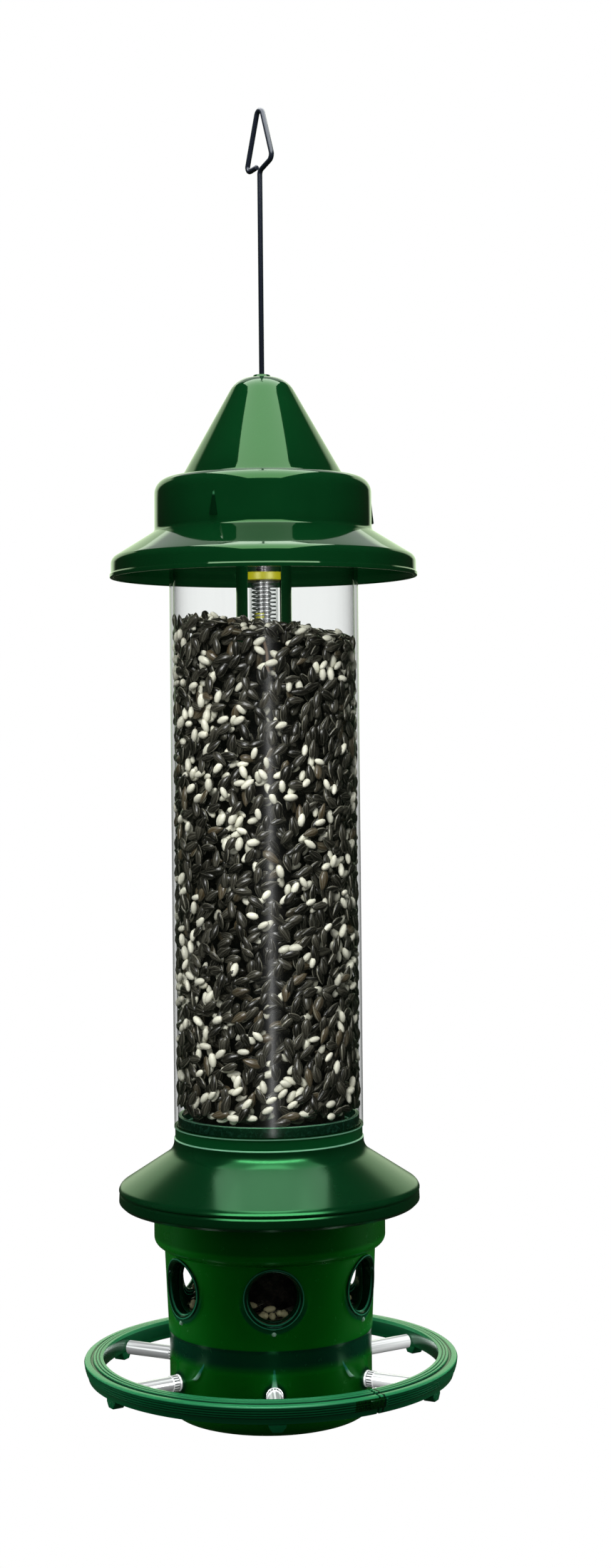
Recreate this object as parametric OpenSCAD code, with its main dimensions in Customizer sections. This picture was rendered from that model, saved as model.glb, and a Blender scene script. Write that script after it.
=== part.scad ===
// Hanging tube seed feeder with a weight-sensitive shroud. The lid, the clear seed tube, the
// baffle and the feed cup hang from a wire hanger. The shroud, its perches and the perch ring
// hang on a pull rod from a coil spring in the central column, and a heavy animal on them
// draws the shroud down until its wall covers the feed ports.
// Heights are written above the shroud's foot; the whole part is then shifted so that the
// origin is the point where a hook carries the hanger eye. The front is at -Y, up is +Z.

/* [Seed tube] */
// Outside diameter of the clear seed tube
tube_d = 101.6; // [85:0.2:125]
// Wall of the seed tube
tube_wall = 2.0; // [1.4:0.1:3]
// Length of the seed tube
tube_len = 336.7; // [250:0.1:430]
// Height of the seed tube's lower end above the shroud's foot
tube_bottom = 153.3; // [141:0.1:190]
// Height of the seed in the tube, as a share of the tube's length
fill_share = 0.79; // [0.3:0.001:0.85]

/* [Lid] */
// How far the brim reaches outside the seed tube
brim_reach = 31.2; // [24:0.1:40]
// How far the lid's skirt comes down below the top of the seed tube
skirt_drop = 42.8; // [36:0.1:52]
// Straight height of the skirt
skirt_h = 10.2; // [6:0.1:14]
// Fall of the sloping brim
brim_fall = 14.6; // [10:0.1:20]
// Gap between the seed tube and the outside of the lid's upright tier
tier_gap = 7.5; // [6.5:0.1:10]
// Height of the lid's shoulder above the seed tube
shoulder_rise = 9.9; // [8:0.1:14]
// Width of the flat ledge between the tier and the cone
ledge_w = 14.4; // [10:0.1:18]
// Height of the cone above the shoulder
cone_h = 55.0; // [42:0.1:70]
// Half angle of the cone
cone_angle = 29.2; // [24:0.1:32]
// Wall of the lid
lid_wall = 2.2; // [1.6:0.1:3]
// How far the lid can be lifted along the hanger wire
lid_travel = 100; // [80:1:125]
// Number of small wedge ribs on the tier
rib_count = 3; // [0:1:6]

/* [Hanger] */
// Diameter of the hanger wire
wire_d = 2.8; // [2:0.1:4]
// Half width of the eye
eye_half_w = 13.8; // [10:0.1:18]
// Height of the eye
eye_h = 33; // [28:0.1:40]
// Turn of the eye's plane about the wire
eye_turn = 60; // [0:1:90]

/* [Central column] */
// Outside diameter of the column sleeve
sleeve_d = 29.9; // [24:0.1:36]
// Wall of the column sleeve
sleeve_wall = 2.0; // [1.5:0.1:3]
// Width of the windows at the front and back of the sleeve
window_w = 18; // [14:0.1:20]
// Outside diameter of the clear spring tube
guard_d = 15.4; // [14.5:0.1:17]
// Wall of the clear spring tube
guard_wall = 0.7; // [0.6:0.1:1]
// Crest diameter of the adjusting screw
screw_d = 8.3; // [7:0.1:9]
// Pitch of the adjusting screw
screw_pitch = 1.7; // [1.5:0.1:3]
// Full turns of the adjusting screw
screw_turns = 4; // [2:1:5]
// Height of the setting nut
nut_h = 4.2; // [3:0.1:6]
// Distance from the top of the seed tube down to the setting nut's underside
nut_drop = 44.7; // [40:0.1:50]
// Outside diameter of the spring
spring_d = 13.2; // [12:0.1:13.4]
// Wire of the spring
spring_wire = 0.95; // [0.7:0.05:1.2]
// Length of the spring at rest
spring_len = 75; // [60:1:90]
// Number of coils
spring_coils = 34; // [20:1:40]
// Diameter of the pull rod
rod_d = 5; // [4:0.1:6]

/* [Feed cup and ports] */
// Number of feed ports, each with a perch below it
port_count = 6; // [3:1:6]
// Height of the port centres
port_z = 71.8; // [68:0.1:76]
// Radius of the port mouths in the shroud
mouth_r = 13.3; // [10:0.1:15]
// Width of the raised rim around each mouth
bezel_rim = 2.65; // [2:0.05:3.4]
// Radius of the ports in the feed cup
cup_port_r = 12.5; // [9:0.1:13]
// Wall of the feed cup
cup_wall = 2.0; // [1.5:0.1:3]
// Height of the cup's floor above the shroud's foot
cup_floor_z = 50; // [46:0.1:54]

/* [Baffle] */
// How far the baffle reaches outside the seed tube
baffle_reach = 30; // [22:0.1:40]
// Height from the baffle's foot to the seed tube's seat
baffle_h = 42; // [34:0.1:48]
// Wall of the baffle
baffle_wall = 2.0; // [1.5:0.1:3]
// Height of the spigot inside the seed tube
spigot_h = 5.6; // [4:0.1:10]

/* [Shroud] */
// Wall of the shroud
shroud_wall = 2.0; // [1.5:0.1:2.4]
// Radial gap between the feed cup and the inside of the shroud's foot
shroud_gap = 1.7; // [1.2:0.1:3]
// Widening of the shroud from its foot to its collar
shroud_taper = 2.3; // [0:0.1:4]
// Height where the collar starts
collar_z = 88.4; // [84:0.1:96]
// How far the collar stands out from the wall
collar_step = 5.5; // [4:0.1:7]
// Height of the shroud
shroud_h = 125; // [115:0.5:128]
// How far the shroud drops
drop_travel = 30; // [26:0.5:32]

/* [Perches and ring] */
// Height of the perches
perch_z = 22.6; // [22:0.1:28]
// Diameter of a perch
perch_d = 7.6; // [5:0.1:8]
// Free length of a perch, from the shroud's foot to the inside of the ring
perch_reach = 35.6; // [26:0.1:50]
// Radial width of the perch ring
ring_w = 10.3; // [8:0.1:14]
// Height of the perch ring
ring_h = 10.6; // [8:0.1:11]
// Azimuth of the ring's split, from the front towards +X
ring_split = 33; // [20:1:40]

/* [Fits] */
// Running clearance of turning and sliding fits, radial
run_gap = 0.05; // [0.02:0.01:0.09]
// Free gap between separate bodies
free_gap = 0.3; // [0.25:0.05:0.4]

/* [Hidden] */
$fn = 96;

step = 360 / port_count;
// seed tube
tube_r = tube_d / 2;
tube_ri = tube_r - tube_wall;
tube_top = tube_bottom + tube_len;
fill_top = tube_bottom + tube_len * fill_share;
fill_tilt = 6;                 // the seed stands this much higher at one side
rim_h = 6;                     // depth of the rim ring on the tube's top
rim_t = 1.7;                   // its wall outside the tube
lug_t = 1.8;                   // how far its bayonet lugs stand out
lug_span = 24;                 // angle of a lug
lock_turn = 30;                // turn that locks the lid
// lid, heights of the outer profile
tier_r = tube_r + tier_gap;
brim_r = tube_r + brim_reach;
lid_foot = tube_top - skirt_drop;
skirt_top = lid_foot + skirt_h;
brim_top = skirt_top + brim_fall;
shoulder_z = tube_top + shoulder_rise;
cone_r = tier_r - ledge_w;
tip_z = shoulder_z + cone_h;
tip_r = cone_r - cone_h * tan(cone_angle);
rib_start = -27.4;             // azimuth of the first wedge rib and of the first bayonet lug
// hanger
wire_r = wire_d / 2;
eye_top = tip_z + lid_travel + 45.6;    // the lifted lid stays clear of the eye
hang_z = eye_top - wire_d;     // a hook carries the eye here: the origin
eye_foot = eye_top - 39;       // the straight of the wire ends here
bush_r = wire_r + 2.6;
// column
sleeve_r = sleeve_d / 2;
sleeve_ri = sleeve_r - sleeve_wall;
nut_z = tube_top - nut_drop;
nut_travel = screw_pitch * screw_turns;
wheel_z = nut_z + nut_h + nut_travel + 27;
wheel_h = 8;
plate_h = 3;
window_top = wheel_z + wheel_h + 1.5;
window_bottom = nut_z - 50;
block_z = wheel_z + wheel_h + 14;
block_h = 26;
sleeve_top = block_z + block_h + 4;
guard_ri = guard_d / 2 - guard_wall;
spring_top = nut_z;
spring_bottom = spring_top - spring_len;
head_h = 4;
seat_h = 12;
guard_bottom = spring_bottom - head_h - drop_travel - 14;
guard_top = nut_z - free_gap;
screw_bottom = spring_bottom + drop_travel / 2;
rod_r = rod_d / 2;
// feed cup
neck_z = tube_bottom - 5.4;      // the neck steps out here, where the flare starts
cup_r = tube_r - 0.2;
cup_ri = cup_r - cup_wall;
spigot_r = tube_ri - 0.2;
spigot_ri = spigot_r - 2;
cup_top = tube_bottom - 12.4;
boss_r = sleeve_r + 3.1;
boss_h = 10;
bush_flange = 2;
bush_drop = 4;                 // the bush reaches this far below the cup's floor
// baffle
baffle_r = tube_r + baffle_reach;
baffle_foot = tube_bottom - baffle_h;
// shroud, outer radii at its foot and under its collar
foot_r = cup_r + shroud_gap + shroud_wall;
wall_r = foot_r + shroud_taper;
collar_r = wall_r + collar_step;
bezel_r = mouth_r + bezel_rim;
bezel_in = cup_r + 0.6;        // inner end of a bezel's sleeve
bezel_proud = 1.0;             // how far a bezel stands out from the wall
boss_out = foot_r + 2.9;       // front face of a perch boss
// ring
ring_ri = foot_r + perch_reach;
ring_ro = ring_ri + ring_w;
ring_z = perch_z + 8;          // top of the ring, which stands on the brackets
ring_foot = ring_z - ring_h;
tail_r = 2;                    // screwed tail and ring spigot of a perch
bracket_h = 4.4;
// pull rod and base
stop_h = 5;
stop_z = cup_floor_z - 2 - bush_drop - free_gap - stop_h;
base_z = 7.5;                  // underside of the base plate's raised centre
plate_t = 2.4;
foot_in = foot_r - 8.3;        // inner edge of the shroud's in-turned foot

// ---- helper functions ----
function unit(v) = v / norm(v);
function xy(p) = [p[0], p[1]];
function half_angle(a, b, c) = acos(unit(xy(a) - xy(b)) * unit(xy(c) - xy(b))) / 2;
function wrap(d) = d > 180 ? d - 360 : (d < -180 ? d + 360 : d);
function corner_centre(a, b, c, f) =
    xy(b) + unit(unit(xy(a) - xy(b)) + unit(xy(c) - xy(b))) * f / sin(half_angle(a, b, c));
function corner(a, b, c, f, n) = let (
    t = f / tan(half_angle(a, b, c)), m = corner_centre(a, b, c, f),
    p = xy(b) + unit(xy(a) - xy(b)) * t - m, q = xy(b) + unit(xy(c) - xy(b)) * t - m,
    s = atan2(p[1], p[0]), d = wrap(atan2(q[1], q[0]) - s))
    [for (k = [0:n]) m + f * [cos(s + d * k / n), sin(s + d * k / n)]];
// a line of [x, y, fillet] points with its corners rounded; a point without a fillet stays sharp
function rounded(p, n = 6) = [for (i = [0:len(p) - 1])
    each (i == 0 || i == len(p) - 1 || len(p[i]) < 3) ? [xy(p[i])]
        : corner(p[i - 1], p[i], p[i + 1], p[i][2], n)];
// the same line moved sideways by t, to the right of its direction
function inset(p, t) = [for (i = [0:len(p) - 1])
    let (d = unit(p[min(i + 1, len(p) - 1)] - p[max(i - 1, 0)])) p[i] + t * [d[1], -d[0]]];
function back(p) = [for (i = [len(p) - 1:-1:0]) p[i]];
function skin(p, t) = concat(p, back(inset(p, t)));

// ---- helper modules ----
// moves the part so that the hanger eye's bearing point is the origin
module hung() translate([0, 0, -hang_z]) children();
// turns a piece drawn towards -Y to the azimuth a, counted from the front towards +X
module azimuth(a) rotate([0, 0, a]) children();
// lays a piece that is drawn along +Z so that it points outwards at the front, at the height z
module outward(z) translate([0, 0, z]) rotate([90, 0, 0]) children();
module round_ports() for (i = [0:port_count - 1]) azimuth(i * step) children();
module ring_disc(ro, ri, z, h) translate([0, 0, z]) difference() {
    cylinder(r = ro, h = h);
    translate([0, 0, -1]) cylinder(r = ri, h = h + 2);
}
// faces of a tube of n rings with m points each, closed at both ends
function tube_faces(n, m) = concat([[for (j = [0:m - 1]) j]],
    [for (k = [0:n - 2], j = [0:m - 1])
        [k * m + j, (k + 1) * m + j, (k + 1) * m + (j + 1) % m, k * m + (j + 1) % m]],
    [[for (j = [m - 1:-1:0]) (n - 1) * m + j]]);
// a wire of radius r bent along the line p of [x, z] points in its own upright plane
module bent_wire(p, r, m = 16) polyhedron([for (i = [0:len(p) - 1])
    let (t = unit(p[min(i + 1, len(p) - 1)] - p[max(i - 1, 0)])) for (j = [0:m - 1])
        let (c = r * cos(j * 360 / m), s = r * sin(j * 360 / m))
            [p[i][0] + c * t[1], -s, p[i][1] - c * t[0]]], tube_faces(len(p), m), convexity = 6);

// ---- profiles, from the top down on the outside ----
lid_line = rounded([[bush_r + run_gap, tip_z], [tip_r, tip_z, 14], [cone_r, shoulder_z + 0.9, 2],
    [tier_r, shoulder_z, 8], [tier_r + 0.2, brim_top, 3], [brim_r, skirt_top, 5],
    [brim_r, lid_foot + 2.6], [brim_r + 0.7, lid_foot + 1.8], [brim_r + 0.7, lid_foot]]);
baffle_line = rounded([[tube_r + 0.1, tube_bottom], [tube_r + 0.1, tube_bottom - 0.9],
    [tube_r - 0.4, tube_bottom - 1.3], [tube_r - 0.4, neck_z - 0.8], [tube_r + 0.2, neck_z - 1.3],
    [tube_r + 0.2, neck_z - 4.7, 4.5], [baffle_r, baffle_foot + 9.3, 10],
    [baffle_r, baffle_foot + 1.7, 1.4], [baffle_r - 1.8, baffle_foot]]);
shroud_line = rounded([[collar_r, shroud_h], [collar_r, collar_z + 3, 5],
    [wall_r, collar_z, 1], [foot_r + 0.4, 44.7], [foot_r + 0.05, 43.6], [foot_r - 0.2, 32.6],
    [foot_r, 31.8], [foot_r, 0, 4.6], [foot_in, 0]]);

// ---- root body: everything that hangs still ----
// straight of the wire, from the ferrule up to the foot of the eye
module hanger_wire() color([0.10, 0.11, 0.13]) hung()
    translate([0, 0, block_z - 8]) cylinder(r = wire_r, h = eye_foot - block_z + 8);

// the same wire goes on as a triangular eye, and its cut end comes back to the straight
module hanger_eye() color([0.10, 0.11, 0.13]) hung() rotate([0, 0, -eye_turn])
    bent_wire(rounded([[0, eye_foot], [0, eye_top - 34.2, 3], [eye_half_w - 0.8, eye_top - 29.5, 3.4],
        [0.4, eye_top + 4.3, 3.2], [-eye_half_w, eye_top - eye_h, 2.6],
        [-wire_d - 0.1, eye_top - eye_h + 1.3]], 8), wire_r);

module hanger_ferrule() color([0.62, 0.63, 0.65]) hung()
    ring_disc(wire_r + 2.4, wire_r, block_z - 8, 8);

module hanger_block() color([0.10, 0.32, 0.14]) hung() difference() {
    translate([0, 0, block_z]) cylinder(r = sleeve_ri, h = block_h);
    translate([0, 0, block_z - 1]) cylinder(r = wire_r, h = block_h + 2);
    for (s = [-1, 1]) translate([s * sleeve_ri, 0, block_z + block_h / 2]) rotate([0, 90, 0])
        cylinder(r = 1.25, h = 12, center = true);
}

module column_sleeve() color([0.05, 0.36, 0.09]) hung() difference() {
    union() {
        ring_disc(sleeve_r, sleeve_ri, cup_floor_z, sleeve_top - cup_floor_z);
        ring_disc(sleeve_r + 0.5, sleeve_ri, window_bottom - 8, 3);
    }
    translate([-window_w / 2, -sleeve_r - 1, window_bottom])
        cube([window_w, sleeve_d + 2, window_top - window_bottom]);
    for (s = [-1, 1], z = [block_z + block_h / 2, cup_floor_z + boss_h / 2])
        translate([s * sleeve_r, 0, z]) rotate([0, 90, 0]) cylinder(r = 1.25, h = 8, center = true);
}

// two screws hold the block in the sleeve, two hold the sleeve in the cup's boss
module column_screws() color([0.7, 0.7, 0.72]) hung() for (s = [0, 180]) rotate([0, 0, s]) {
    translate([sleeve_ri - 6, 0, block_z + block_h / 2]) rotate([0, 90, 0])
        cylinder(r = 1.25, h = sleeve_wall + 6);
    translate([sleeve_ri, 0, cup_floor_z + boss_h / 2]) rotate([0, 90, 0])
        cylinder(r = 1.25, h = boss_r - sleeve_ri - 0.2);
}

module screw_plate() color([0.10, 0.32, 0.14]) hung()
    ring_disc(sleeve_ri, screw_d / 2 + run_gap, wheel_z - free_gap - plate_h, plate_h);

module spring_tube() color([0.86, 0.93, 0.92, 0.35]) hung()
    ring_disc(guard_d / 2, guard_ri, guard_bottom, guard_top - guard_bottom);

module tube_seat() color([0.10, 0.32, 0.14]) hung() difference() {
    translate([0, 0, guard_bottom - 6]) cylinder(r = sleeve_ri, h = seat_h);
    translate([0, 0, guard_bottom]) cylinder(r = guard_d / 2, h = seat_h);
    translate([0, 0, guard_bottom - 7]) cylinder(r = rod_r + 0.4, h = 8);
}

module seed_tube() color([0.88, 0.93, 0.95, 0.3]) hung()
    ring_disc(tube_r, tube_ri, tube_bottom, tube_len);

// rim ring on the tube's top, with the lugs that the lid locks under
module tube_rim() color([0.10, 0.42, 0.14]) hung() {
    rotate_extrude() polygon([[tube_r, tube_top - rim_h], [tube_r + rim_t, tube_top - rim_h],
        [tube_r + rim_t, tube_top + 1.6], [tube_ri, tube_top + 1.6], [tube_ri, tube_top],
        [tube_r, tube_top]]);
    for (i = [0:2]) azimuth(rib_start + i * 120) rotate([0, 0, -90 - lug_span / 2])
        rotate_extrude(angle = lug_span) polygon([[tube_r + rim_t - 0.3, tube_top - 4],
            [tube_r + rim_t + lug_t, tube_top - 4], [tube_r + rim_t + lug_t, tube_top - 1],
            [tube_r + rim_t - 0.3, tube_top - 1]]);
}

module baffle() color([0.04, 0.33, 0.10]) hung() {
    rotate_extrude() polygon(skin(baffle_line, baffle_wall));
    rotate_extrude() polygon([[spigot_ri, cup_top - 7], [cup_ri, cup_top - 7], [cup_ri, cup_top + 0.2],
        [cup_ri + 0.8, cup_top + 0.2], [cup_ri + 0.8, tube_bottom], [spigot_r, tube_bottom],
        [spigot_r, tube_bottom + spigot_h], [spigot_ri, tube_bottom + spigot_h]]);
}

module feed_cup() color([0.04, 0.30, 0.09]) hung() difference() {
    rotate_extrude() polygon([[6, cup_floor_z - 2], [cup_r, cup_floor_z - 2], [cup_r, cup_top],
        [cup_ri, cup_top], [cup_ri, cup_floor_z], [boss_r, cup_floor_z],
        [boss_r, cup_floor_z + boss_h], [sleeve_r, cup_floor_z + boss_h],
        [sleeve_r, cup_floor_z], [6, cup_floor_z]]);
    round_ports() outward(port_z) translate([0, 0, cup_ri - 8]) cylinder(r = cup_port_r, h = 20);
    round_ports() translate([0, -cup_ri + 4, cup_floor_z - 3]) cylinder(r = 1.5, h = 4, $fn = 24);
    for (s = [-1, 1]) translate([s * boss_r, 0, cup_floor_z + boss_h / 2]) rotate([0, 90, 0])
        cylinder(r = 1.25, h = 10, center = true);
}

// cone that leads the seed out to the ports
module seed_diverter() color([0.04, 0.30, 0.09]) hung() rotate_extrude()
    polygon([[boss_r, cup_floor_z], [cup_ri - 8.4, cup_floor_z], [cup_ri - 8.4, cup_floor_z + 2],
        [boss_r, cup_floor_z + 14], [sleeve_r, cup_floor_z + 14],
        [sleeve_r, cup_floor_z + boss_h], [boss_r, cup_floor_z + boss_h]]);

module cup_bush() color([0.75, 0.76, 0.74]) hung() rotate_extrude()
    polygon([[rod_r + run_gap, cup_floor_z - 2 - bush_drop], [6, cup_floor_z - 2 - bush_drop],
        [6, cup_floor_z], [9, cup_floor_z], [9, cup_floor_z + bush_flange],
        [rod_r + run_gap, cup_floor_z + bush_flange]]);

// the seed, as one closed solid with a sloping top; it stands back from the ports
module seed_fill() color([0.13, 0.12, 0.11]) hung() difference() {
    rotate_extrude() polygon([[sleeve_r + 0.3, cup_floor_z + 14.4],
        [boss_r + 0.2, cup_floor_z + 14.4], [cup_ri - 9, cup_floor_z + 3.4],
        [cup_ri - 9, cup_top - 28], [spigot_ri - 0.3, cup_top - 14],
        [spigot_ri - 0.3, tube_bottom + spigot_h + 0.3], [tube_ri - 0.3, tube_bottom + spigot_h + 0.3],
        [tube_ri - 0.3, fill_top + fill_tilt], [sleeve_r + 0.3, fill_top + fill_tilt]]);
    ring_disc(sleeve_r + 0.8, sleeve_r, window_bottom - 8.3, 3.6);
    translate([0, 0, fill_top]) rotate([0, atan2(fill_tilt, tube_r), 0])
        translate([-tube_d, -tube_d, 0]) cube([2 * tube_d, 2 * tube_d, 60]);
}

// ---- adjuster ----
// the screw thread is drawn as rings of the same pitch and crest
module adjuster_screw() color([0.22, 0.21, 0.23]) hung() rotate_extrude()
    polygon(concat([[0, screw_bottom]],
        [for (k = [0:floor((wheel_z - 1 - screw_bottom) / screw_pitch)])
            each [[screw_d / 2 - 0.7, screw_bottom + k * screw_pitch],
                [screw_d / 2 - 0.7, screw_bottom + (k + 0.3) * screw_pitch],
                [screw_d / 2, screw_bottom + (k + 0.5) * screw_pitch],
                [screw_d / 2, screw_bottom + (k + 0.8) * screw_pitch]]],
        [[screw_d / 2, wheel_z + wheel_h], [0, wheel_z + wheel_h]]));

module adjuster_wheel() color([0.78, 0.74, 0.10]) hung() difference() {
    translate([0, 0, wheel_z]) cylinder(r = sleeve_ri - 0.4, h = wheel_h);
    translate([0, 0, wheel_z - 1]) cylinder(r = screw_d / 2, h = wheel_h + 2);
    for (i = [0:19]) rotate([0, 0, i * 18]) translate([sleeve_ri + 0.3, 0, wheel_z - 1])
        cylinder(r = 1.2, h = wheel_h + 2, $fn = 16);
}

// flag on the screw, seen between the coils
module setting_mark() color([0.85, 0.80, 0.08]) hung() translate([0, 0, nut_z - 20.3])
    rotate([0, 0, 180]) rotate_extrude(angle = 90)
        translate([screw_d / 2, 0]) square([spring_d / 2 - spring_wire - screw_d / 2 - 0.3, 3]);

// nut that rides in the windows and shows the setting
module setting_nut() color([0.85, 0.80, 0.08]) hung() translate([0, 0, nut_z]) difference() {
    intersection() {
        cylinder(r = sleeve_r - 0.3, h = nut_h);
        translate([-window_w / 2 + 0.15, -sleeve_r, -1]) cube([window_w - 0.3, sleeve_d, nut_h + 2]);
    }
    translate([0, 0, -1]) cylinder(r = screw_d / 2 + run_gap, h = nut_h + 2);
}

function coil_at(k, n) = [spring_d / 2 - spring_wire / 2, k * 360 / n,
    spring_bottom + spring_wire / 2 + 0.05
        + (spring_len - spring_wire - 0.1) * k / (spring_coils * n)];
module spring() color([0.72, 0.73, 0.75]) hung() {
    n = 12; m = 5; last = spring_coils * n;
    polyhedron([for (k = [0:last]) let (c = coil_at(k, n)) for (j = [0:m - 1])
        let (q = c[0] + spring_wire / 2 * cos(j * 360 / m))
            [q * cos(c[1]), q * sin(c[1]), c[2] + spring_wire / 2 * sin(j * 360 / m)]],
        tube_faces(last + 1, m), convexity = 10);
}

// ---- lid ----
module wire_bush() color([0.12, 0.13, 0.13]) hung() translate([0, 0, tip_z]) rotate_extrude()
    polygon([[wire_r + run_gap, -lid_wall - 1.6], [bush_r + 1.6, -lid_wall - 1.6],
        [bush_r + 1.6, -lid_wall - 0.1], [bush_r, -lid_wall - 0.1], [bush_r, 0.1],
        [bush_r + 1.2, 0.1], [bush_r + 0.4, 1.3], [wire_r + run_gap, 1.6]]);

module lid_shell() color([0.06, 0.34, 0.12]) hung() {
    rotate_extrude() polygon(skin(lid_line, lid_wall));
    if (rib_count > 0) for (i = [0:rib_count - 1]) azimuth(rib_start + i * 360 / rib_count)
        rib();
}
// wedge rib with a sharp top and a wide foot, on the outside of the tier
module rib() let (z = brim_top + 4, h = 13, w = 2.1, y = -tier_r)
    polyhedron([[-w, y + 0.5, z], [w, y + 0.5, z], [w, y - 1.5, z], [-w, y - 1.5, z],
        [-0.4, y + 0.5, z + h], [0.4, y + 0.5, z + h], [0.4, y - 0.2, z + h], [-0.4, y - 0.2, z + h]],
        [[0, 1, 2, 3], [7, 6, 5, 4], [0, 4, 5, 1], [1, 5, 6, 2], [2, 6, 7, 3], [3, 7, 4, 0]]);

// ring inside the tier: it sits on the tube's rim and its ledges turn under the rim's lugs
module lid_lock_ring() color([0.05, 0.28, 0.10]) hung() {
    ro = tier_r - lid_wall - 0.1;
    ri = tube_r + rim_t + lug_t + free_gap;
    rotate_extrude() polygon([[ri, tube_top - 11], [ro, tube_top - 11],
        [ro, tube_top + 1.4], [ro - 1.3, tube_top + 4.5], [tube_ri, tube_top + 4.5],
        [tube_ri, tube_top + 1.6 + free_gap], [ri, tube_top + 1.6 + free_gap]]);
    for (i = [0:2]) azimuth(rib_start + i * 120 - lock_turn) rotate([0, 0, -90 - lug_span / 2])
        rotate_extrude(angle = lug_span) polygon([[tube_r + rim_t + free_gap, tube_top - 8.5],
            [ri + 0.3, tube_top - 8.5], [ri + 0.3, tube_top - 4 - free_gap],
            [tube_r + rim_t + free_gap, tube_top - 4 - free_gap]]);
}

// ---- shroud and what hangs with it ----
module shroud_outside() rotate_extrude() polygon(concat([[0, shroud_h]], shroud_line, [[0, 0]]));
module perch_boss() outward(perch_z) rotate_extrude() polygon([[0, foot_r - 1.9],
    [14.2, foot_r - 1.9], [14.2, foot_r - 1.2], [10.6, foot_r + 0.2], [8.4, foot_r + 0.9],
    [6.9, foot_r + 1.7], [6.1, foot_r + 2.5], [5.6, boss_out], [0, boss_out]]);
module shroud() color([0.02, 0.38, 0.06]) hung() difference() {
    union() {
        rotate_extrude() polygon(skin(shroud_line, shroud_wall));
        round_ports() {
            perch_boss();
            outward(port_z - 18.2) translate([0, 0, foot_r - 0.5]) cylinder(r = 1, h = 1.8, $fn = 24);
        }
    }
    round_ports() {
        outward(port_z) translate([0, 0, cup_r - 5]) cylinder(r = mouth_r + 1.1, h = 20);
        outward(perch_z) translate([0, 0, foot_r - 10]) cylinder(r = tail_r, h = 20);
    }
}

// rims of the feed ports: each lies on the wall, follows its curve, and lines the hole
module port_bezels() color([0.05, 0.36, 0.10]) hung() round_ports() difference() {
    intersection() {
        outward(port_z) translate([0, 0, bezel_in]) cylinder(r = bezel_r, h = 14);
        translate([0, 0, 44.7]) cylinder(r1 = foot_r + 0.4 + bezel_proud,
            r2 = wall_r + bezel_proud, h = collar_z - 44.7);
    }
    difference() {
        shroud_outside();
        outward(port_z) translate([0, 0, cup_r - 5]) cylinder(r = mouth_r + 1.1, h = 20);
    }
    outward(port_z) translate([0, 0, cup_r - 6]) cylinder(r = mouth_r, h = 20);
}

module perch_rods() color([0.75, 0.76, 0.78]) hung() round_ports() outward(perch_z) {
    translate([0, 0, foot_r - 9]) cylinder(r = tail_r, h = 12);
    translate([0, 0, boss_out]) cylinder(r = perch_d / 2, h = ring_ri - boss_out - 0.3);
    translate([0, 0, ring_ri - 1]) cylinder(r = tail_r, h = 5.5);
}

module perch_collars() color([0.72, 0.73, 0.75]) hung() round_ports() outward(perch_z)
    translate([0, 0, boss_out]) difference() {
        rotate_extrude() polygon([[0, 0], [perch_d / 2 + 1.0, 0], [perch_d / 2 + 1.0, 0.9],
            [perch_d / 2 + 0.5, 1.1], [perch_d / 2 + 0.5, 1.4], [perch_d / 2 + 0.85, 1.6],
            [perch_d / 2 + 0.85, 4.6], [perch_d / 2 + 0.5, 5], [0, 5]]);
        translate([0, 0, -1]) cylinder(r = perch_d / 2, h = 7);
        for (i = [0:17]) rotate([0, 0, i * 20]) translate([perch_d / 2 + 1.15, 0, 1.5])
            cylinder(r = 0.42, h = 5, $fn = 16);
    }

module perch_nuts() color([0.75, 0.76, 0.78]) hung() round_ports() outward(perch_z)
    translate([0, 0, foot_r - shroud_wall - 4.4]) difference() {
        cylinder(r = 4.04, h = 3.6, $fn = 6);
        translate([0, 0, -1]) cylinder(r = tail_r, h = 6);
    }

// section of the perch ring: ridged top, deeper groove, rounded outer ridge, tapered wall
ring_line = [[1.4, ring_foot - ring_z], [0, -7.4], [0, -0.3], [0.4, 0], [1.9, 0], [2.2, -0.5], [2.5, -0.1],
    [3.6, -0.2], [3.9, -0.7], [4.2, -0.3], [5.2, -0.4], [5.8, -1.5], [6.5, -1.6], [7.1, -0.9],
    [8.8, -1.0], [9.9, -1.5], [10.3, -2.3], [10.2, -3.2], [9.9, -3.5], [10, -4.4], [9.6, -4.8],
    [9.7, -5.7], [9.3, -6.1], [9.3, -7], [8.9, -7.4], [8, ring_foot - ring_z]];
module ring_half(a) difference() {
    rotate([0, 0, a - 90]) rotate_extrude(angle = 180)
        polygon([for (p = ring_line) [ring_ri + p[0] * ring_w / 10.3, ring_z + p[1]]]);
    round_ports() outward(perch_z) translate([0, 0, ring_ri - 4]) cylinder(r = tail_r, h = 8.5);
}
module ring_half_right() color([0.12, 0.50, 0.28]) hung() ring_half(ring_split);
module ring_half_left() color([0.12, 0.50, 0.28]) hung() ring_half(ring_split + 180);

module ring_brackets() color([0.10, 0.44, 0.22]) hung() round_ports()
    difference() {
        translate([0, -ring_ri - 4.4, ring_foot - bracket_h]) difference() {
            linear_extrude(bracket_h) square([9, 6.4], center = true);
            for (s = [-1, 1]) translate([s * 5.5, 0, 0]) rotate([0, s * 35, 0])
                cube([5, 8, 9], center = true);
        }
        outward(perch_z) translate([0, 0, ring_ri - 4]) cylinder(r = tail_r, h = 8.5);
    }

// clasp plates over the two joints of the ring
module ring_clasps() color([0.14, 0.52, 0.30]) hung() for (a = [ring_split, ring_split + 180])
    rotate([0, 0, a - 90 - 5]) rotate_extrude(angle = 6)
        polygon([[ring_ro + 0.05, ring_z - 2.4], [ring_ro + 0.9, ring_z - 2.9],
            [ring_ro + 0.1, ring_z - 7.2], [ring_ro - 0.75, ring_z - 7.2],
            [ring_ro - 0.25, ring_z - 4.6]]);

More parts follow.
